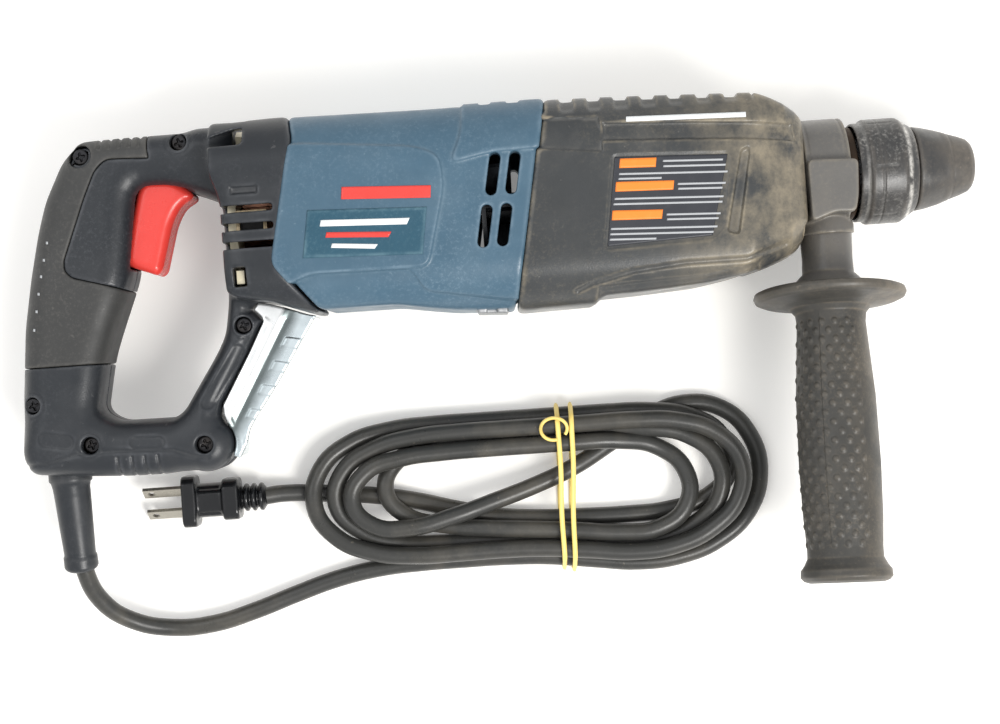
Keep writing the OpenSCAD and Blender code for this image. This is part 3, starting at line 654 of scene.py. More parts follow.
def decal(name, corners, top, material, slot=None, thick=0.25, step=0.8):
    """A thin four-sided film that follows the surface under it."""
    a, b, c, d = (np.array(p, float) for p in corners)
    across = max(2, int(np.linalg.norm(b - a) / step))
    down = max(2, int(np.linalg.norm(d - a) / step))
    u, v = np.meshgrid(np.linspace(0, 1, across + 1), np.linspace(0, 1, down + 1), indexing="ij")
    flat = between(u[..., None], v[..., None], a, b, c, d).reshape(-1, 2)
    height = height_at(top, flat[:, 0], flat[:, 1])
    upper = np.column_stack([flat, height + thick])
    lower = np.column_stack([flat, height - DECAL_SINK])
    n = (across + 1) * (down + 1)
    grid = np.arange(n).reshape(across + 1, down + 1)
    face = np.stack([grid[:-1, :-1], grid[1:, :-1], grid[1:, 1:], grid[:-1, 1:]], axis=-1).reshape(-1, 4)
    rim = np.concatenate([grid[:, 0], grid[-1, 1:], grid[-2::-1, -1], grid[0, -2:0:-1]])
    if np.cross(b - a, d - a) < 0:
        face, rim = face[:, ::-1], rim[::-1]
    following = np.roll(rim, -1)
    wall = np.column_stack([rim + n, following + n, following, rim])
    faces = np.vstack([face, face[:, ::-1] + n, wall])
    return put(name, np.vstack([upper, lower]), faces, material, slot=slot)


def turned(name, profile, place, material, body, slot, sides=96, step=1.0, swell=None):
    """A turned piece from (along, radius) corners; swell adds to the radius by place along and angle."""
    p = np.array(profile, float)
    along, radius = [], []
    for (a, r), (b, s) in zip(p[:-1], p[1:]):
        pieces = max(1, int(math.hypot(b - a, s - r) / step))
        for t in np.linspace(0, 1, pieces, endpoint=False):
            along.append(a + (b - a) * t)
            radius.append(r + (s - r) * t)
    along = np.array(along + [p[-1, 0]])
    radius = np.array(radius + [p[-1, 1]])
    angle = np.linspace(0, 2 * math.pi, sides, endpoint=False)
    wide = np.repeat(radius[:, None], sides, axis=1)
    if swell:
        wide = wide + np.where(wide > 1, swell(along[:, None], angle[None, :]), 0)
    run = np.repeat(along[:, None], sides, axis=1)
    local = np.stack([run, wide * np.cos(angle), wide * np.sin(angle)], axis=-1)
    points = place(local.reshape(-1, 3))
    ring = np.arange(len(along) * sides).reshape(len(along), sides)
    after = np.roll(ring, -1, axis=1)
    faces = np.stack([ring[:-1], after[:-1], after[1:], ring[1:]], axis=-1).reshape(-1, 4)
    return put(name, points, faces[:, ::-1], material, body, slot)


def on_spindle(p):
    """A turned piece's points, with its axis along the spindle."""
    return p + [0, 0, AXIS_Z]


def on_side(p):
    """A turned piece's points, with its axis along the side handle's."""
    lift = Matrix.Rotation(math.radians(-SIDE_LIFT), 3, "X")
    lean = Matrix.Rotation(math.radians(-SIDE_LEAN), 3, "Z")
    turn = np.array(lift @ lean)
    local = np.column_stack([p[:, 1], -p[:, 0], p[:, 2]])
    return local @ turn.T + [SIDE_X, 0, AXIS_Z]


# ---- motor housing
FINE = 0.62  # the shells' mesh step
MOTOR = rounded([
    (-221.8, 39.2), (-165, 38), (-113, 38.6), (-129.8, -51.5), (-155, -50), (-165, -48.5), (-181, -45.8),
    (-213.6, -45.7), (-230.2, -24.2), (-219.6, 26.7)
], 3)
BLUE_PANEL = rounded([
    (-250, 25.5), (-215.5, 24.9), (-168.9, 20.5), (-158, 16), (-156.9, 3), (-165.6, -30.5), (-214.8, -30),
    (-224.1, -33.8), (-250, -34)
], 5)
SHOULDER = rounded([(-154, 12), (-148.6, 24), (-145.7, 60), (-100, 60), (-100, 16.4), (-135.7, 15.7)], 5)
KEEL = rounded([
    (-240, -34), (-224.1, -33.8), (-214.8, -30), (-172.8, -30.7), (-168, -40), (-131, -46.3), (-100, -47),
    (-100, -70), (-240, -70)
], 4)
SLOTS = [(-136.2, 6.5), (-127.8, 6.5), (-141, -15), (-132.8, -15)]
SLOT_LENGTH, SLOT_WIDTH, SLOT_TILT = 18, 4.6, math.radians(-11)
HOUSING_RIBS = [(-147.2, -140.1), (-135.4, -128.4), (-123.2, -110)]


def motor_field(x, y, z):
    """The blue shell, with two raised panels, a sunk keel, ribs on top and four exhaust slots."""
    body = larger(outline(MOTOR, x, y), bar_section(y, z, BELLY_Y, CROWN_Y, HALF - 1.2, 26), 2)
    body = body - 1.2 * within(outline(BLUE_PANEL, x, y), 1.0) - 1.0 * within(outline(SHOULDER, x, y), 0.9)
    body = body + 1.0 * within(outline(KEEL, x, y), 0.9)
    body = larger(body, y - 38.8 + 1.4 * (x > -149) * (1 - stripes(x, HOUSING_RIBS)))
    body = cut(body, from_axis(y, z, MOTOR_Y) - MOTOR_BORE)
    reach = (SLOT_LENGTH - SLOT_WIDTH) / 2
    tip_x, tip_y = reach * math.sin(-SLOT_TILT), reach * math.cos(SLOT_TILT)
    for cx, cy in SLOTS:
        slot = stroke([(cx - tip_x, cy - tip_y), (cx + tip_x, cy + tip_y)], SLOT_WIDTH, x, y)
        body = cut(body, slot, 0.8)
    return body


housing, blue_top = surface("motor_housing_shell", motor_field, (-231, BELLY_Y, 0),
                            (-112, CROWN_Y, TOP_Z), FINE, "housing_blue")
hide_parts("motor_housing")

LUG = [(-148, -45), (-133.5, -45), (-133.5, -51.3), (-146.6, -50.6)]
LUG_LOW, LUG_TOP = AXIS_Z - 14, AXIS_Z + 22


def lug_field(x, y, z):
    """A small metal lug under the blue shell, with a notch in its top."""
    lug = larger(plate(outline(LUG, x, y), z, LUG_LOW, LUG_TOP, 1), z - LUG_TOP)
    return hollow(lug, np.abs(x + 140.5) - 2.2, np.maximum(np.abs(y + 50.2) - 1.2, AXIS_Z + 19.5 - z))


lug, _ = surface("belly_lug", lug_field, (-148, -52, LUG_LOW), (-133, -45, LUG_TOP), 0.5, "die_cast")

# ---- gear cover
NOSE_X = -3.4
COVER_JOIN = -113  # where the cover's hollow meets the motor's bore
COVER_WALL = 3.2
GEAR = [
    (-113, 38.6), (-87, 37.8), (-43, 35.5), (-24, 34.6), (-16, 31), (-6, 25.5), (NOSE_X, 24.5),
    (NOSE_X, -24.5), (-7, -33), (-13, -36.5), (-22, -40), (-31, -42.6), (-49, -45.7), (-75, -47.4),
    (-92, -48), (-95, -50.5), (-129.8, -51.5)
]
KNOBS = [
    (-112.6, -105.9), (-100.5, -94.3), (-88.9, -83.2), (-77.4, -71.6), (-65.8, -60), (-54.6, -48.3),
    (-42.9, -36.7), (-31.3, -25.1)
]
CROWN_GROOVE = [(-89.1, 24.4), (-50, 22.2), (-9.8, 19.3), (-8.6, 12.4), (-50, 15.2), (-89.6, 17.2)]
STEP_PANEL = [(-140, 29.5), (-115.4, 28.5), (-90.7, 27.2), (-89.5, 20), (-90.1, 12.7), (-117.2, 15.8),
              (-140, 16)]
LABEL_BED = rounded([(-86, 10.9), (-36.8, 8.7), (-41.5, -22.5), (-46.1, -26.9), (-91.8, -28.3)], 2.5)
NOSE_SLOT = rounded([(-32.1, 9.2), (-29, 10.2), (-28.6, 8), (-35.4, -25.7), (-40, -24.5)], 1.5)
BELLY_GROOVE = [(-104, -44.5), (-97.7, -41.9), (-80.2, -38), (-58.4, -36.1), (-32.5, -36.1), (-14.8, -30.5)]
UNDER_STRAKE = [(-97, -60), (-94.5, -43.2), (-75.7, -42.4), (-49.6, -41.6), (-27.6, -37.9), (-20, -60)]
CASE_SCREWS = [(24, 22), (-24, 22), (23, -27), (-23, -27)]  # across and up from the spindle
SELECTOR = (-62, -6)


def gear_solid(x, y, z, margin):
    """The cover's outside, drawn in by a margin."""
    tall = HALF - np.interp(x, [-131, -30, -12, NOSE_X], [0, 0, 7, 14])
    round_r = np.interp(x, [-131, -46, -25, -12, NOSE_X], [70, 70, 49, 43, 34])
    body = larger(outline(rounded(GEAR, 4), x, y), bar_section(y, z, BELLY_Y, CROWN_Y, HALF, 26), 2)
    body = larger(body, np.abs(z - AXIS_Z) - tall, 3)
    return larger(body, from_axis(y, z) - round_r, 3) + margin


def gear_field(x, y, z):
    """The cover, with its panels, grooves and knobbed top, and its hollow, bores and screw holes."""
    body = gear_solid(x, y, z, 0)
    edge = np.interp(x, [-113, -87, -43, -24, -16], [38.4, 37.6, 35.4, 34.4, 31])
    body = body + 1.0 * within(outline(STEP_PANEL, x, y)) + 1.5 * within(outline(CROWN_GROOVE, x, y), 1.3)
    body = body + 0.5 * within(outline(LABEL_BED, x, y)) + 1.6 * within(outline(NOSE_SLOT, x, y), 1.0)
    body = body + 0.8 * within(stroke(BELLY_GROOVE, 1.6, x, y), 1.0)
    body = body + 0.8 * within(outline(UNDER_STRAKE, x, y), 1.0)
    ridge = stripes(x, KNOBS, 0.7)
    body = larger(body, y - edge + 1.5 * (1 - ridge) * (x < -24), 0.5)
    body = body + 0.7 * (1 - ridge) * rising(y - 30, 2) * (x < -24)
    # Hollow, motor bore, nose bore, selector's hole and screw holes
    body = hollow(body, gear_solid(x, y, z, COVER_WALL), COVER_JOIN - x)
    body = hollow(body, from_axis(y, z, MOTOR_Y) - MOTOR_BORE, x - COVER_JOIN - 0.1)
    body = hollow(body, from_axis(y, z) - NECK_R - 0.1, -12 - x, 0.5)
    body = hollow(body, from_place(SELECTOR, x, y) - 15.4, z - 7, 0.8)
    for cy, cz in CASE_SCREWS:
        body = hollow(body, np.hypot(y - cy, z - AXIS_Z - cz) - 4, -16 - x)
    return body


cover, cover_top = surface("gear_cover_shell", gear_field, (-130.5, BELLY_Y, 0),
                           (NOSE_X, CROWN_Y, TOP_Z), FINE, "cover_black", slot="black_plastic")
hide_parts("gear_cover")

# ---- handle halves and rubber overmould
REAR = [
    (-221.8, 39.2), (-230, 39.2), (-246, 37.8), (-256, 38), (-256, -38), (-242, -38.4), (-233.5, -40),
    (-216.5, -46.2), (-213.6, -45.7), (-230.2, -24.2), (-219.6, 26.7)
]
OPENING = rounded([
    (-290, 14), (-276, 13.8), (-264, 9.8), (-254.5, 5.5), (-254.5, -37), (-257, -52), (-261.3, -60),
    (-271, -74.5), (-276.5, -83), (-281, -86.4), (-306, -86.2), (-313.5, -81), (-308.8, -58.2),
    (-304.5, -46.6), (-299, -33), (-295.5, -24)
], 6)
GRIP = rounded([
    (-245, 38), (-263, 38.2), (-269, 36.5), (-308, 36.2), (-314.6, 36), (-323, 27.7), (-331.4, 11.1),
    (-335.5, -2.3), (-340, -21.8), (-344, -43.6), (-346.8, -74.3), (-347.6, -100), (-344, -107),
    (-318, -109.4), (-300, -110.4), (-285, -110.4), (-280, -109.8), (-262, -109.8), (-258, -100),
    (-245, -76), (-236, -60), (-240, -38)
], 4)
BAY = ([(-241.5, -38.2), (-244.4, -42.4), (-240, -47), (-247, -60), (-260, -82), (-261, -87)]
       + arc(HOOK_PIVOT, BOSS_R, 48, -80, 8) + [(-262, -112), (-200, -112), (-200, -38.2)])
SOFT_PANEL = [
    (-301.8, 26.7), (-240, 24), (-240, -10), (-266, 9), (-286, 0), (-293.8, -31.5), (-301.8, -28.4),
    (-319.9, -23.2), (-322.7, -20), (-322.7, -16), (-312.4, 10.2), (-306.8, 22.3)
]
SOFT_ZONE = [(-360, -61), (-280, -61), (-280, -20), (-283, 20), (-285, 45), (-360, 45)]
TRIGGER = rounded([
    (-288.5, 18), (-275.5, 17.2), (-266, 9.2), (-273, 5.7), (-277.2, -1.5), (-283, -22), (-285, -23.8),
    (-299, -18), (-294.8, -1), (-290.8, 13.5)
], 4)
TRIGGER_TRAVEL = 6
ARM_RIBS = [-305, -300.5, -296, -291.5, -287.5]
FOOT_RIBS = [-305.5, -299.3, -293.9, -288.1]
LOUVRES = [-15.8, -8.2, -0.6]
MARKS = [([(-335.5, -92), (-327, -93.6)], 6.5), ([(-297, -96), (-287.5, -96.6)], 5.5),
         ([(-265.5, -81), (-251, -59.5)], 5.5)]
SWOOSH = [(-345, -102.7), (-336.7, -102.7), (-322.4, -98.8), (-306, -98.7), (-281.4, -100), (-273.3, -103),
          (-266.8, -104.3)]
ARM_POCKET = rounded([(-258.4, 28.7), (-245, 33.5), (-240.4, 34), (-240.5, 26.5), (-257.8, 26)], 2)
SKIN = 2.2  # the rubber's thickness
HANDLE_WALL = 3
REAR_WALL = 3.2
SPLIT_GAP = 0.12
WINDOW_X, WINDOW_HALF = -242.8, 2.8
LOCK_PLACE = (-307, 10)


def handle_solid(x, y, z):
    """The whole handle without its hollows, and the flat outline of its grip loop."""
    flat = cut(outline(GRIP, x, y), outline(BAY, x, y))
    flat = smaller(flat, from_place(HOOK_PIVOT, x, y) - BOSS_R)
    soft = 9 + 4 * rising(-296 - x, 24) * rising(y + 96, 12)
    loop = plate(flat, z, AXIS_Z - GRIP_HALF, AXIS_Z + GRIP_HALF, soft)
    rear = larger(outline(rounded(REAR, 3), x, y), bar_section(y, z, -47, CROWN_Y, REAR_HALF, 24), 2)
    body = smaller(loop, larger(rear, -256 - x, 3), 4)
    opening = outline(OPENING, x, y)
    return cut(body, opening, 13), cut(flat, opening)


def soft_zone(x, y):
    """Where rubber covers the grip."""
    return cut(outline(SOFT_ZONE, x, y), outline(rounded(SOFT_PANEL, 3), x, y))


def handle_field(x, y, z):
    """Both handle shells as one, with their marks, screw wells, windows, louvres and hollows."""
    solid, flat = handle_solid(x, y, z)
    up = z - AXIS_Z
    side = np.abs(up)
    face = within(GRIP_HALF - 3 - side)
    # Blank recesses and ribs at the grip's foot, pocket on the arm, collars and wells of the screws
    body = solid + 0.5 * within(stroke(SWOOSH, 1.6, x, y), 1.0)
    for mark, wide in MARKS:
        body = body + 0.45 * within(stroke(mark, wide, x, y))
    for rib_x in FOOT_RIBS:
        body = body + 0.8 * within(np.maximum(np.abs(x - rib_x) - 0.5, y + 101.5), 0.8)
    ramp_down = 37 - 0.95 * (x + 258)
    body = hollow(body, outline(ARM_POCKET, x, y), ramp_down - up, 1.0)
    for place in SCREW_PLACES:
        collar = from_place(place, x, y)
        body = body + 0.35 * within(np.abs(collar - 5.4) - 0.3, 0.7) * face
        body = hollow(body, collar - 3.7, 12 - up, 0.8)
    # Bed of the rubber skin, hollow of the grip loop, chamber round the motor's rear
    body = cut(body, larger(soft_zone(x, y), -(solid + SKIN)) - SPLIT_GAP)
    body = hollow(body, flat + SKIN + HANDLE_WALL, side - (GRIP_HALF - SKIN - HANDLE_WALL))
    chamber = larger(from_axis(y, z, MOTOR_Y) - MOTOR_BORE, -250 - x)
    belly = np.interp(x, [-256, -242, -233.5, -216.5], [-38, -38.4, -40, -46.2]) + HANDLE_WALL
    body = hollow(body, larger(chamber, belly - y), side - (HALF - REAR_WALL))
    # Louvres, recess between them, window of the reversing tab, small window lower down
    for slot_y in LOUVRES:
        gap = larger(np.abs(y - slot_y) - 1.45, np.abs(x + 243) - 14, 1.5)
        body = hollow(body, gap, 24 - side, 0.6)
    body = body + 1.2 * within(box(x, y, (-240.5, 7), 5.5, 1.4), 1.0)
    window = larger(np.abs(x - WINDOW_X) - WINDOW_HALF, larger(np.abs(y - 34) - 12, side - 25))
    body = cut(body, window, 0.8)
    body = hollow(body, box(x, y, (-244.7, -29), 2.7, 4), 20 - up, 0.8)
    # Room for the trigger's whole stroke, then for the hook's ear, pin, lock button and cord relief
    pocket = 1e9
    for t in (0, 0.5, 1):
        moved = (x - TRIGGER_DIR[0] * TRIGGER_TRAVEL * t, y - TRIGGER_DIR[1] * TRIGGER_TRAVEL * t)
        pocket = smaller(pocket, outline(TRIGGER, *moved))
    body = hollow(body, pocket - 0.5, side - 11.2)
    hinge = from_place(HOOK_PIVOT, x, y)
    body = hollow(body, hinge - 15.2, side - 3.2)
    body = hollow(body, hinge - 3.8, 12 - up, 0.8)
    body = hollow(body, from_place(LOCK_PLACE, x, y) - 5.2, up)
    return hollow(body, np.hypot(x - RELIEF_X, up) - 9.6, y + 100)


def right_field(x, y, z):
    return larger(handle_field(x, y, z), AXIS_Z + SPLIT_GAP - z, 0.4)


def left_field(x, y, z):
    return larger(handle_field(x, y, z), z - AXIS_Z + SPLIT_GAP, 0.4)


def rubber_field(x, y, z):
    """The grip's rubber skin, with ribs on the top arm."""
    solid, flat = handle_solid(x, y, z)
    for rib_x in ARM_RIBS:
        solid = solid + 0.9 * within(np.maximum(np.abs(x - rib_x) - 0.7, 31 - y), 0.8)
    skin = larger(solid, soft_zone(x, y) + 0.15, 0.8)
    skin = cut(skin, solid + SKIN)
    skin = hollow(skin, from_place(SCREW_PLACES[0], x, y) - 5.2, AXIS_Z - z, 0.8)
    window = larger(np.abs(x - WINDOW_X) - WINDOW_HALF, np.abs(z - AXIS_Z) - 25)
    return hollow(skin, window, 22 - y)


right, _ = surface("handle_right_shell", right_field, (-348, -111, AXIS_Z), (-213, CROWN_Y, TOP_Z), FINE,
                   "black_plastic")
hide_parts("handle_right")
left, _ = surface("handle_left_shell", left_field, (-348, -111, 0), (-213, CROWN_Y, AXIS_Z), FINE * 1.3,
                  "black_plastic")
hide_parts("handle_left")
rubber, rubber_top = surface("grip_overmould_skin", rubber_field, (-348, -62, AXIS_Z - 20),
                             (-260, CROWN_Y, AXIS_Z + 20), FINE * 0.9, "soft_rubber")
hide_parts("grip_overmould")

# ---- controls


def trigger_field(x, y, z):
    """The trigger, dished along the finger."""
    body = plate(outline(TRIGGER, x, y) - 0.5, z, AXIS_Z - 10.4, AXIS_Z + 10.4, 4.5)
    return body + 0.5 * within(np.abs(z - AXIS_Z) - 5.5, 3) * (x > -290)


trigger_piece, _ = surface("trigger_lever", trigger_field, (-300, -25, AXIS_Z - 11),
                           (-265, 19, AXIS_Z + 11), 0.6, "red_plastic", "trigger")
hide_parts("trigger")

# ---- folding hook
HOOK_TOP, HOOK_LOW = AXIS_Z + 14, AXIS_Z - 12
HOOK_PLATE = 2.2
HOOK_CURL = BOSS_R + 1
HOOK = ([(-243.4, -42.2), (-241.2, -39.2), (-236.4, -40.1), (-230, -42), (-217.2, -46.8), (-225.4, -59.5),
         (-235.2, -74.5), (-244.8, -87.6)]
        + [arc(HOOK_PIVOT, HOOK_CURL + wide, turn, turn, 0)[0]
           for turn, wide in ((16, 7.3), (-3, 4.6), (-14, 3.6), (-25, 2.6))]
        + arc(HOOK_PIVOT, HOOK_CURL, -25, 35, 5)
        + [(-259, -86.6), (-259.2, -82.8), (-246.2, -60.6), (-239.2, -47.6), (-239.4, -46.4)])
HOOK_TURN = math.radians(HOOK_TILT)
HOOK_DENTS = [11.5 * n for n in range(4)]
FIRST_DENT = (-228.3, -57.5)
EAR = [HOOK_PIVOT] + arc(HOOK_PIVOT, 14.8, -25, 28, 5)


def past_bend(x, y):
    """How far a place is to the right of the hook's bend."""
    return (x - HOOK_BEND[0]) * math.cos(HOOK_TURN) + (y - HOOK_BEND[1]) * math.sin(HOOK_TURN)


def hook_field(x, y, z):
    """The bent hook plate: its face with stamped marks, its leg and its ear round the pivot."""
    flat = outline(HOOK, x, y)
    inner = larger(cut(flat, outline(HOOK, x - 2.05, y + 1.3)), y + 46.6)
    sunk = 1.1 * rising(past_bend(x, y), 3) * rising(-43 - y, 4)
    across, along = math.cos(HOOK_TURN), -math.sin(HOOK_TURN)
    for reach in HOOK_DENTS:
        dx = x - FIRST_DENT[0] + reach * along
        dy = y - FIRST_DENT[1] + reach * across
        wide = np.abs(dx * across - dy * along) - 3.2
        tall = np.abs(dy * across + dx * along - 0.35 * (dx * across - dy * along)) - 2.3
        sunk = sunk - 0.55 * within(larger(wide, tall, 0.8), 0.7)
    face = plate(flat, z + sunk, HOOK_TOP - HOOK_PLATE, HOOK_TOP, 0.7)
    tall = np.abs(z + np.maximum(sunk, 0) - (HOOK_TOP + HOOK_LOW) / 2) - (HOOK_TOP - HOOK_LOW) / 2
    leg = larger(inner, tall, 0.4)
    hinge = from_place(HOOK_PIVOT, x, y)
    ear = larger(smaller(hinge - 8, outline(EAR, x, y)), np.abs(z - AXIS_Z) - 2.8)
    body = smaller(smaller(face, leg, 1.5), ear)
    return cut(body, hinge - 2.6)


hook_piece, _ = surface("folding_hook_plate", hook_field, (-270, -108, HOOK_LOW), (-216, -38, HOOK_TOP), 0.5,
                        "zinc_steel", "hook")
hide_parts("folding_hook")

# ---- screws


def screw_field(places, top, radius, shank, depth):
    """The distance function of some screws with cross recesses."""
    def field(x, y, z):
        body = 1e9
        for px, py in places:
            out = from_place((px, py), x, y)
            head = larger(out - radius, np.abs(z - top + 1.2) - 1.2, 0.5)
            dx, dy = x - px, y - py
            arms = smaller(box(dx + 0.3 * dy, dy, (0, 0), 0.45, 2), box(dx, dy - 0.3 * dx, (0, 0), 2, 0.45))
            head = hollow(head, arms, top - 1.3 - z)
            stem = larger(out - shank, np.maximum(z - top + 2, top - depth - z))
            body = smaller(body, smaller(head, stem))
        return body
    return field


screws, _ = surface("handle_screw_heads", screw_field(SCREW_PLACES, AXIS_Z + 14.4, 3.4, 1.6, 12),
                    (-346, -101, AXIS_Z + 2), (-243, 37, AXIS_Z + 15), 0.4,
                    "dark_steel")
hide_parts("handle_screws")
pin, _ = surface("hook_pin_screw", screw_field([HOOK_PIVOT], AXIS_Z + 14.6, 3.6, 2.5, 29),
                 (HOOK_PIVOT[0] - 4, HOOK_PIVOT[1] - 4, AXIS_Z - 15),
                 (HOOK_PIVOT[0] + 4, HOOK_PIVOT[1] + 4, AXIS_Z + 15),
                 0.35, "dark_steel")
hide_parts("hook_pin")

# ---- chuck
SLEEVE_X, SLEEVE_R, BAND_X = 21.5, 23.0, 17.0


def sleeve_swell(along, angle):
    """Six shallow seams round the sleeve."""
    seam = np.clip(1 - np.abs((angle * 3 / math.pi) % 1 - 0.5) * 40, 0, 1)
    return -0.35 * seam * rising(along - 27, 0.8) * rising(38 - along, 0.8)


sleeve = turned("locking_sleeve_body", [
    (SLEEVE_X, 20.6), (SLEEVE_X, 21.4), (SLEEVE_X + 0.4, 21.6), (25.2, 21.6), (25.8, 22.6),
    (26.6, SLEEVE_R), (30.6, SLEEVE_R), (31, 22.7), (31.4, SLEEVE_R), (40.2, SLEEVE_R), (41, 22.8),
    (43.6, 21.2), (44.2, 20.6), (46.8, 18.9), (47.3, 18.2), (47.3, 12), (41.4, 12), (41.4, 11.3),
    (39, 11.3), (39, 20.6), (SLEEVE_X, 20.6)
], on_spindle, "chuck_black", "sleeve", "black_plastic", 192, 0.6, sleeve_swell)
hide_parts("locking_sleeve")


def cap_swell(along, angle):
    """Six soft lobes round the cap's wide end."""
    return 0.3 * rising(along - 50, 3) * rising(61 - along, 2) * (np.cos(6 * angle) - 0.6)


cap = turned("dust_cap_rubber", [
    (47.7, 12), (47.7, 17.8), (48.4, 18.4), (52, 17.8), (58, 16.3), (62.4, 14.9), (62.9, 14.4),
    (63.5, 14.4), (68, 13), (71.5, 11.6), (73, 10.2), (73.8, 8.6), (74, 7.6), (73.6, 6.1), (61, 6.1),
    (61, 11), (47.7, 12)
], on_spindle, "cap_rubber", "housing", "grip_rubber", 128, 0.6, cap_swell)
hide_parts("dust_cap")
seal = turned("nose_seal_ring", [
    (BAND_X, 13.3), (BAND_X, 19.8), (BAND_X + 0.5, 20.2), (BAND_X + 3.3, 20.2), (BAND_X + 3.8, 19.7),
    (BAND_X + 3.8, 13.3), (BAND_X, 13.3)
], on_spindle, "rusty_steel", "housing", "rusty_steel", 96, 0.6)
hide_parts("nose_seal")

# ---- side handle
CLAMP_BLOCK = rounded([(-2.6, 4.4), (19.1, 3.6), (18.2, -12), (16.6, -19), (8, -18.4), (-2.2, -22)], 2.5)


def band_field(x, y, z):
    """The clamp band round the nose, its block and the socket for the handle's neck."""
    out = from_axis(y, z)
    ring = larger(out - 24.4, np.abs(x - 7) - 9.8, 0.6)
    ring = ring + 0.5 * within(np.abs(x - 15) - 0.3, 0.7) + 0.5 * within(np.abs(x + 0.8) - 0.3, 0.7)
    block = larger(outline(CLAMP_BLOCK, x, y), np.abs(z - AXIS_Z - 15) - 13.2, 1.2)
    lift = math.tan(math.radians(SIDE_LIFT))
    lean = math.tan(math.radians(SIDE_LEAN))
    socket = np.hypot(x - SIDE_X - y * lean, (z - AXIS_Z + lift * y) * 0.9) - 12.2
    socket = larger(larger(socket, y + 15), -26.5 - y, 0.6)
    body = smaller(ring, smaller(block, socket, 1.0), 1.0)
    body = cut(body, out - NECK_R - 0.05)
    return hollow(body, out - SLEEVE_R - 0.4, BAND_X - 0.2 - x)


band, _ = surface("clamp_band_ring", band_field, (-5, -27, AXIS_Z - 25), (22, 25, AXIS_Z + 29), 0.5,
                         "clamp_black", "side_clamp", "black_plastic")
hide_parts("clamp_band")
GUARD_R, SIDE_REACH = 33.0, 178.0
neck = turned("clamp_neck_cone", [
    (24.6, 4.2), (24.6, 10.9), (27, 11.2), (38, 10.9), (44.4, 11.2), (45, 12), (49.8, 16.6), (50.4, 17.3),
    (51, 17.5), (51.5, 17), (51.5, 4.2), (24.6, 4.2)
], on_side, "clamp_black", "side_clamp", "black_plastic", 96, 0.8)
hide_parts("clamp_neck")

DOT_START, DOT_ROW, DOT_ROWS, DOTS_ROUND = 67, 3.95, 25, 17
PALM_R = 17


def grip_swell(along, angle):
    """Staggered round dots on the palm side, and a low ridge along each parting line."""
    row_at = np.round((along - DOT_START) / DOT_ROW)
    across = (angle / (2 * math.pi) * DOTS_ROUND + (row_at % 2) / 2) % 1 - 0.5
    radius = np.hypot(along - DOT_START - row_at * DOT_ROW, across * 2 * math.pi * PALM_R / DOTS_ROUND)
    dots = np.clip(1.5 - radius, 0, 1.1) ** 0.5
    middle = 0.68 * math.pi
    zone = (row_at >= 0) & (row_at < DOT_ROWS) & (np.abs(angle - middle) < 1.05)
    parting = np.clip(1 - np.abs(np.cos(angle - 0.5)) * 22, 0, 1) * rising(along - 62, 4)
    return 0.55 * dots * zone + 0.3 * parting * (along < 162)


grip = turned("side_grip_rubber", [
    (51.8, 4.2), (51.8, GUARD_R - 2), (52.4, GUARD_R - 0.6), (54, GUARD_R - 0.1), (55.6, GUARD_R - 0.8),
    (56.6, GUARD_R - 3), (58.2, 21), (59.6, 17.4), (62, 15.3), (66, 14.8), (78, 15.6), (98, 17.0),
    (128, 17.4), (150, 16.9), (163, 16.1), (167.5, 16.2), (170.5, 17.7), (172.6, 19.3), (175.6, 19.5),
    (177.2, 18), (SIDE_REACH, 15.5), (SIDE_REACH, 6), (176.8, 5), (176.8, 0)
], on_side, "grip_rubber", "side_grip", "grip_rubber", 300, 0.5, grip_swell)
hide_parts("side_grip")

# ---- strain relief, plug and bands
RELIEF_TOP = -101
RELIEF_DROP = math.radians(12.5)
RELIEF_BEND = 9.5  # how far down the relief it starts to dip


def down_relief(p):
    """A turned piece's points, running down from the grip's foot and dipping to the surface."""
    bend = rising(p[:, 0] - RELIEF_BEND, 6) * RELIEF_DROP
    reach = np.maximum(p[:, 0] - RELIEF_BEND, 0)
    y = RELIEF_TOP - np.minimum(p[:, 0], RELIEF_BEND) - reach * np.cos(bend) - p[:, 2] * np.sin(bend)
    return np.column_stack([RELIEF_X + p[:, 1], y, AXIS_Z - reach * np.sin(bend) + p[:, 2] * np.cos(bend)])


relief = turned("strain_relief_sleeve", [
    (3, 4.1), (3, 9), (5.5, 9), (5.6, 9.4), (10, 9.4), (10.8, 8.6), (13, 8.1), (18, 7.9), (44, 6.9),
    (45, 7.4), (49.5, 7.5), (50.5, 6.9), (51, 6.2), (51, 4.05), (3, 4.1)
], down_relief, "black_plastic", "housing", "grip_rubber", 72, 0.8)
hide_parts("strain_relief")

PLUG = (-250.5, -126, 8.5)
CORD_SLEEVE = 6.4
# Start and end along the plug, width, height and rounding of its collar, waist and front
PLUG_BLOCKS = [(11.5, 19, 19, 17, 4.5), (17, 33, 15.5, 13.5, 5.5), (31, 37.5, 23.5, 16.5, 4)]


def plug_field(x, y, z):
    """The plug, from its ringed sleeve over two blocks and a waist to its flat front."""
    along, across, up = PLUG[0] - x, y - PLUG[1], z - PLUG[2]
    out = np.hypot(across, up)
    sleeve = out - CORD_SLEEVE
    rings = sleeve + 1.5 * (1 - stripes(along, [(0.5, 2.6), (4, 6), (7.4, 9.4), (10.6, 14)], 0.7))
    body = larger(rings, np.abs(along - 6.5) - 7)
    for a0, a1, wide, tall, r in PLUG_BLOCKS:
        block = plate(np.abs(across) - wide / 2, up, -tall / 2, tall / 2, r)
        body = smaller(body, larger(block, np.abs(along - (a0 + a1) / 2) - (a1 - a0) / 2, 1.2), 1.5)
    body = body + 0.5 * within(np.abs(np.abs(across) - 5.5) - 0.5, 0.8) * (along > 20) * (along < 30)
    return larger(body, 0.4 - z)


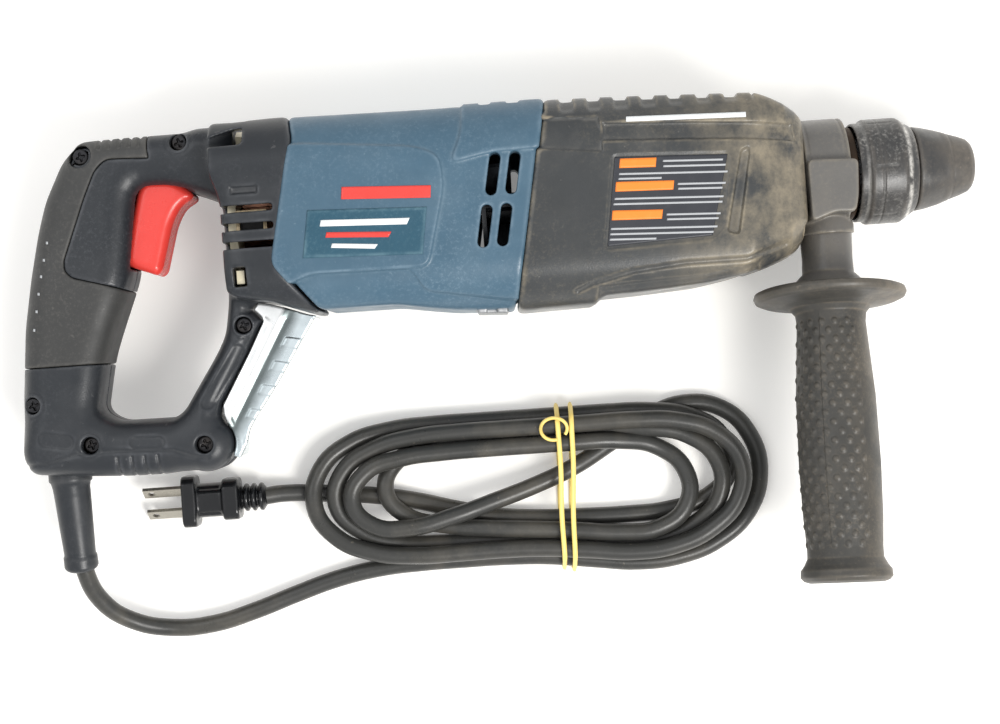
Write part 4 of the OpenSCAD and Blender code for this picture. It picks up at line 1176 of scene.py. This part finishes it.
plug, _ = surface("plug_shell", plug_field, (-288.5, -139, 0), (-250, -113, 19), 0.5, "plug_vinyl")
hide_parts("plug_body")

BAND_R = 0.8  # half of the rubber band's thickness
STRANDS = [(-115, 0.02), (-109.5, 0.045)]  # where each strand crosses the bundle, and its lean


def band_loop(at_x, lean):
    """A closed loop stretched round everything that the cord does near one place."""
    out = CORD_D / 2 + BAND_R
    ring = [(math.cos(a), math.sin(a)) for a in np.linspace(0, 2 * math.pi, 24, endpoint=False)]
    near = cord_line[np.abs(cord_line[:, 0] - at_x) < 5]
    spots = np.array([(p[1] + out * c, p[2] + out * s) for p in near for c, s in ring])
    spots[:, 1] = np.maximum(spots[:, 1], BAND_R)
    spots = spots[np.lexsort((spots[:, 1], spots[:, 0]))]
    hull = []
    for run in (spots, spots[::-1]):
        chain = []
        for p in run:
            while len(chain) > 1 and np.cross(chain[-1] - chain[-2], p - chain[-2]) <= 0:
                chain.pop()
            chain.append(p)
        hull += chain[:-1]
    hull = np.array(hull)
    closed = np.vstack([hull, hull[:1]])
    along = run_length(closed)
    at = np.linspace(0, along[-1], 90, endpoint=False)
    y, z = np.interp(at, along, closed[:, 0]), np.interp(at, along, closed[:, 1])
    middle = (y.min() + y.max()) / 2
    return np.column_stack([at_x + lean * (y - middle) + 0.25 * np.sin(y / 7), y, z])


def strand(name, line, closed=True, flat=1.0, sides=10):
    """A rubber strand along a line of points, flat times as wide as it is thick."""
    line = np.asarray(line, float)
    if closed:
        ahead, behind = np.roll(line, -1, axis=0), np.roll(line, 1, axis=0)
    else:
        ahead, behind = np.vstack([line[1:], line[-1:]]), np.vstack([line[:1], line[:-1]])
    run = ahead - behind
    run /= np.linalg.norm(run, axis=1)[:, None]
    across = np.cross(run, [0.3, 0.1, 1.0])
    across /= np.linalg.norm(across, axis=1)[:, None]
    up = np.cross(across, run)
    angle = np.linspace(0, 2 * math.pi, sides, endpoint=False)
    points = (line[:, None] + BAND_R * flat * np.cos(angle)[None, :, None] * across[:, None]
              + BAND_R * np.sin(angle)[None, :, None] * up[:, None]).reshape(-1, 3)
    ring = np.arange(len(line) * sides).reshape(len(line), sides)
    last = ring if closed else ring[:-1]
    following = np.roll(ring, -1, axis=0) if closed else ring[1:]
    faces = np.stack([last, following, np.roll(following, -1, axis=1), np.roll(last, -1, axis=1)], axis=-1)
    return put(name, points, faces.reshape(-1, 4)[:, ::-1], "band_rubber")


bands = [strand(f"rubber_band_{n}", band_loop(at_x, lean), flat=1.5)
         for n, (at_x, lean) in enumerate(STRANDS, 1)]
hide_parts("rubber_bands")
CURL = (-116.5, -104.0, 21.5)
curl = [(CURL[0] + 6 * math.cos(a), CURL[1] + 5 * math.sin(a), CURL[2] + 1.2 * math.sin(2 * a))
        for a in np.linspace(-0.6, 1.55 * math.pi, 40)]
strand("rubber_band_curl", curl, closed=False)

# ---- labels without any lettering
decal("side_red_bar", [(-199.4, 5.2), (-162.3, 3.3), (-162.8, -1.8), (-200, 0.1)], blue_top, "red_plastic")
decal("side_badge", [(-214.4, -3.5), (-164.6, -5.5), (-167.6, -25), (-217.6, -23.3)], blue_top, "label_teal",
      "housing_blue")
STRIPES = [(-209, -172, -8, 2.6), (-207, -180, -13.2, 2.2), (-205, -186, -18, 1.8)]
for n, (x0, x1, y0, tall) in enumerate(STRIPES, 1):
    decal(f"badge_stripe_{n}", [(x0, y0), (x1, y0 - 1.6), (x1 - 1.4, y0 - 1.6 - tall), (x0 - 0.6, y0 - tall)],
          blue_top, "label_white" if n != 2 else "red_plastic", "ivory_plastic", thick=0.4)
decal("side_panel", [(-85, 9.8), (-38, 7.8), (-46.6, -25.6), (-90.6, -27.2)], cover_top, "label_dark",
      "black_plastic")
BLOCKS = [[(-82.9, 9), (-67.7, 8.4), (-68.3, 4.5), (-83.5, 5.1)],
          [(-85.2, -0.6), (-61, -1.6), (-61.6, -5.4), (-85.8, -4.6)],
          [(-87.5, -12.4), (-66.5, -13.4), (-67.2, -17.2), (-88.1, -16.4)]]
for n, corners in enumerate(BLOCKS, 1):
    decal(f"panel_block_{n}", corners, cover_top, "label_orange", "brass", thick=0.4)
PANEL_LINES = [
    (-65, -40, 7.2), (-65, -39, 5.0), (-83.6, -38.4, 3.0), (-84, -66, 1.0), (-59.5, -39.5, -2.8),
    (-59.5, -41, -4.8), (-86.2, -40.8, -7.2), (-86.8, -41.4, -9.4), (-65, -42.5, -15.2),
    (-65, -43.5, -17.2), (-88.6, -44.2, -19.6), (-89, -46, -21.8), (-89.4, -70, -24)
]
for n, (x0, x1, y0) in enumerate(PANEL_LINES, 1):
    fall = 0.045 * (x1 - x0)
    decal(f"panel_line_{n}", [(x0, y0), (x1, y0 - fall), (x1 - 0.2, y0 - fall - 0.8), (x0 - 0.2, y0 - 0.8)],
          cover_top, "label_line", "ivory_plastic", thick=0.4)
decal("crown_bar", [(-79, 26.6), (-29, 25), (-29.2, 22.8), (-79.2, 24.4)], cover_top, "label_white",
      "ivory_plastic", thick=0.3)
GRIP_DOTS = [(-329.5, -7.4), (-331.4, -14.7), (-333.1, -21.7), (-334.7, -29.1), (-336.1, -36.6),
             (-337.7, -44.5)]
for n, (x0, y0) in enumerate(GRIP_DOTS, 1):
    corners = [(x0 - 0.5, y0 + 0.6), (x0 + 0.5, y0 + 0.5), (x0 + 0.4, y0 - 0.7), (x0 - 0.6, y0 - 0.5)]
    decal(f"grip_dot_{n}", corners, rubber_top, "label_line", "ivory_plastic", step=0.4)

# ---- CAD pieces that keep their own shape
for part in frame["record"]["subparts"]:
    solid = frame["nodes"][part["node"]].data
    solid.materials.clear()
    solid.materials.append(MATERIALS[part["material_slot"]])

# ---- floor and light
floor_mesh = bpy.data.meshes.new("floor")
FLOOR_HALF = 3.0  # metres
corners = [(a * FLOOR_HALF, b * FLOOR_HALF, 0) for a, b in ((-1, -1), (1, -1), (1, 1), (-1, 1))]
floor_mesh.from_pydata(corners, [], [(0, 1, 2, 3)])
floor_paint = Paint("paper_floor")
shade = floor_paint.patches(1.3, 2, 0.5, 0.0, 0.3, 0.7)
paper = floor_paint.mix(shade, srgb((242, 240, 236)), srgb((238, 236, 231)))
floor_paint.feed(floor_paint.shader, {"Base Color": paper, "Roughness": 0.6,
                                      "Emission Color": (1, 0.99, 0.97, 1), "Emission Strength": 0.22})
floor_mesh.materials.append(floor_paint.material)
floor = added("floor", floor_mesh)


def lamp(name, place, size, power, colour):
    """A soft square lamp that faces the tool's middle."""
    data = bpy.data.lights.new(name, "AREA")
    data.size = size
    data.energy = power
    data.color = colour
    item = added(name, data)
    item.location = place
    item.rotation_euler = Vector(place).to_track_quat("Z", "Y").to_euler()
    return item


key = lamp("key_lamp", (0.6, -0.7, 1.3), 0.6, 22, (1.0, 0.985, 0.96))
fill = lamp("fill_lamp", (-0.9, 0.6, 1.3), 1.2, 6, (0.96, 0.98, 1.0))
world = bpy.data.worlds.new("room")
world.use_nodes = True
sky = world.node_tree.nodes["Background"]
sky.inputs["Color"].default_value = (0.97, 0.98, 1, 1)
sky.inputs["Strength"].default_value = 0.85
bpy.context.scene.world = world
bpy.context.scene.view_settings.view_transform = "Standard"
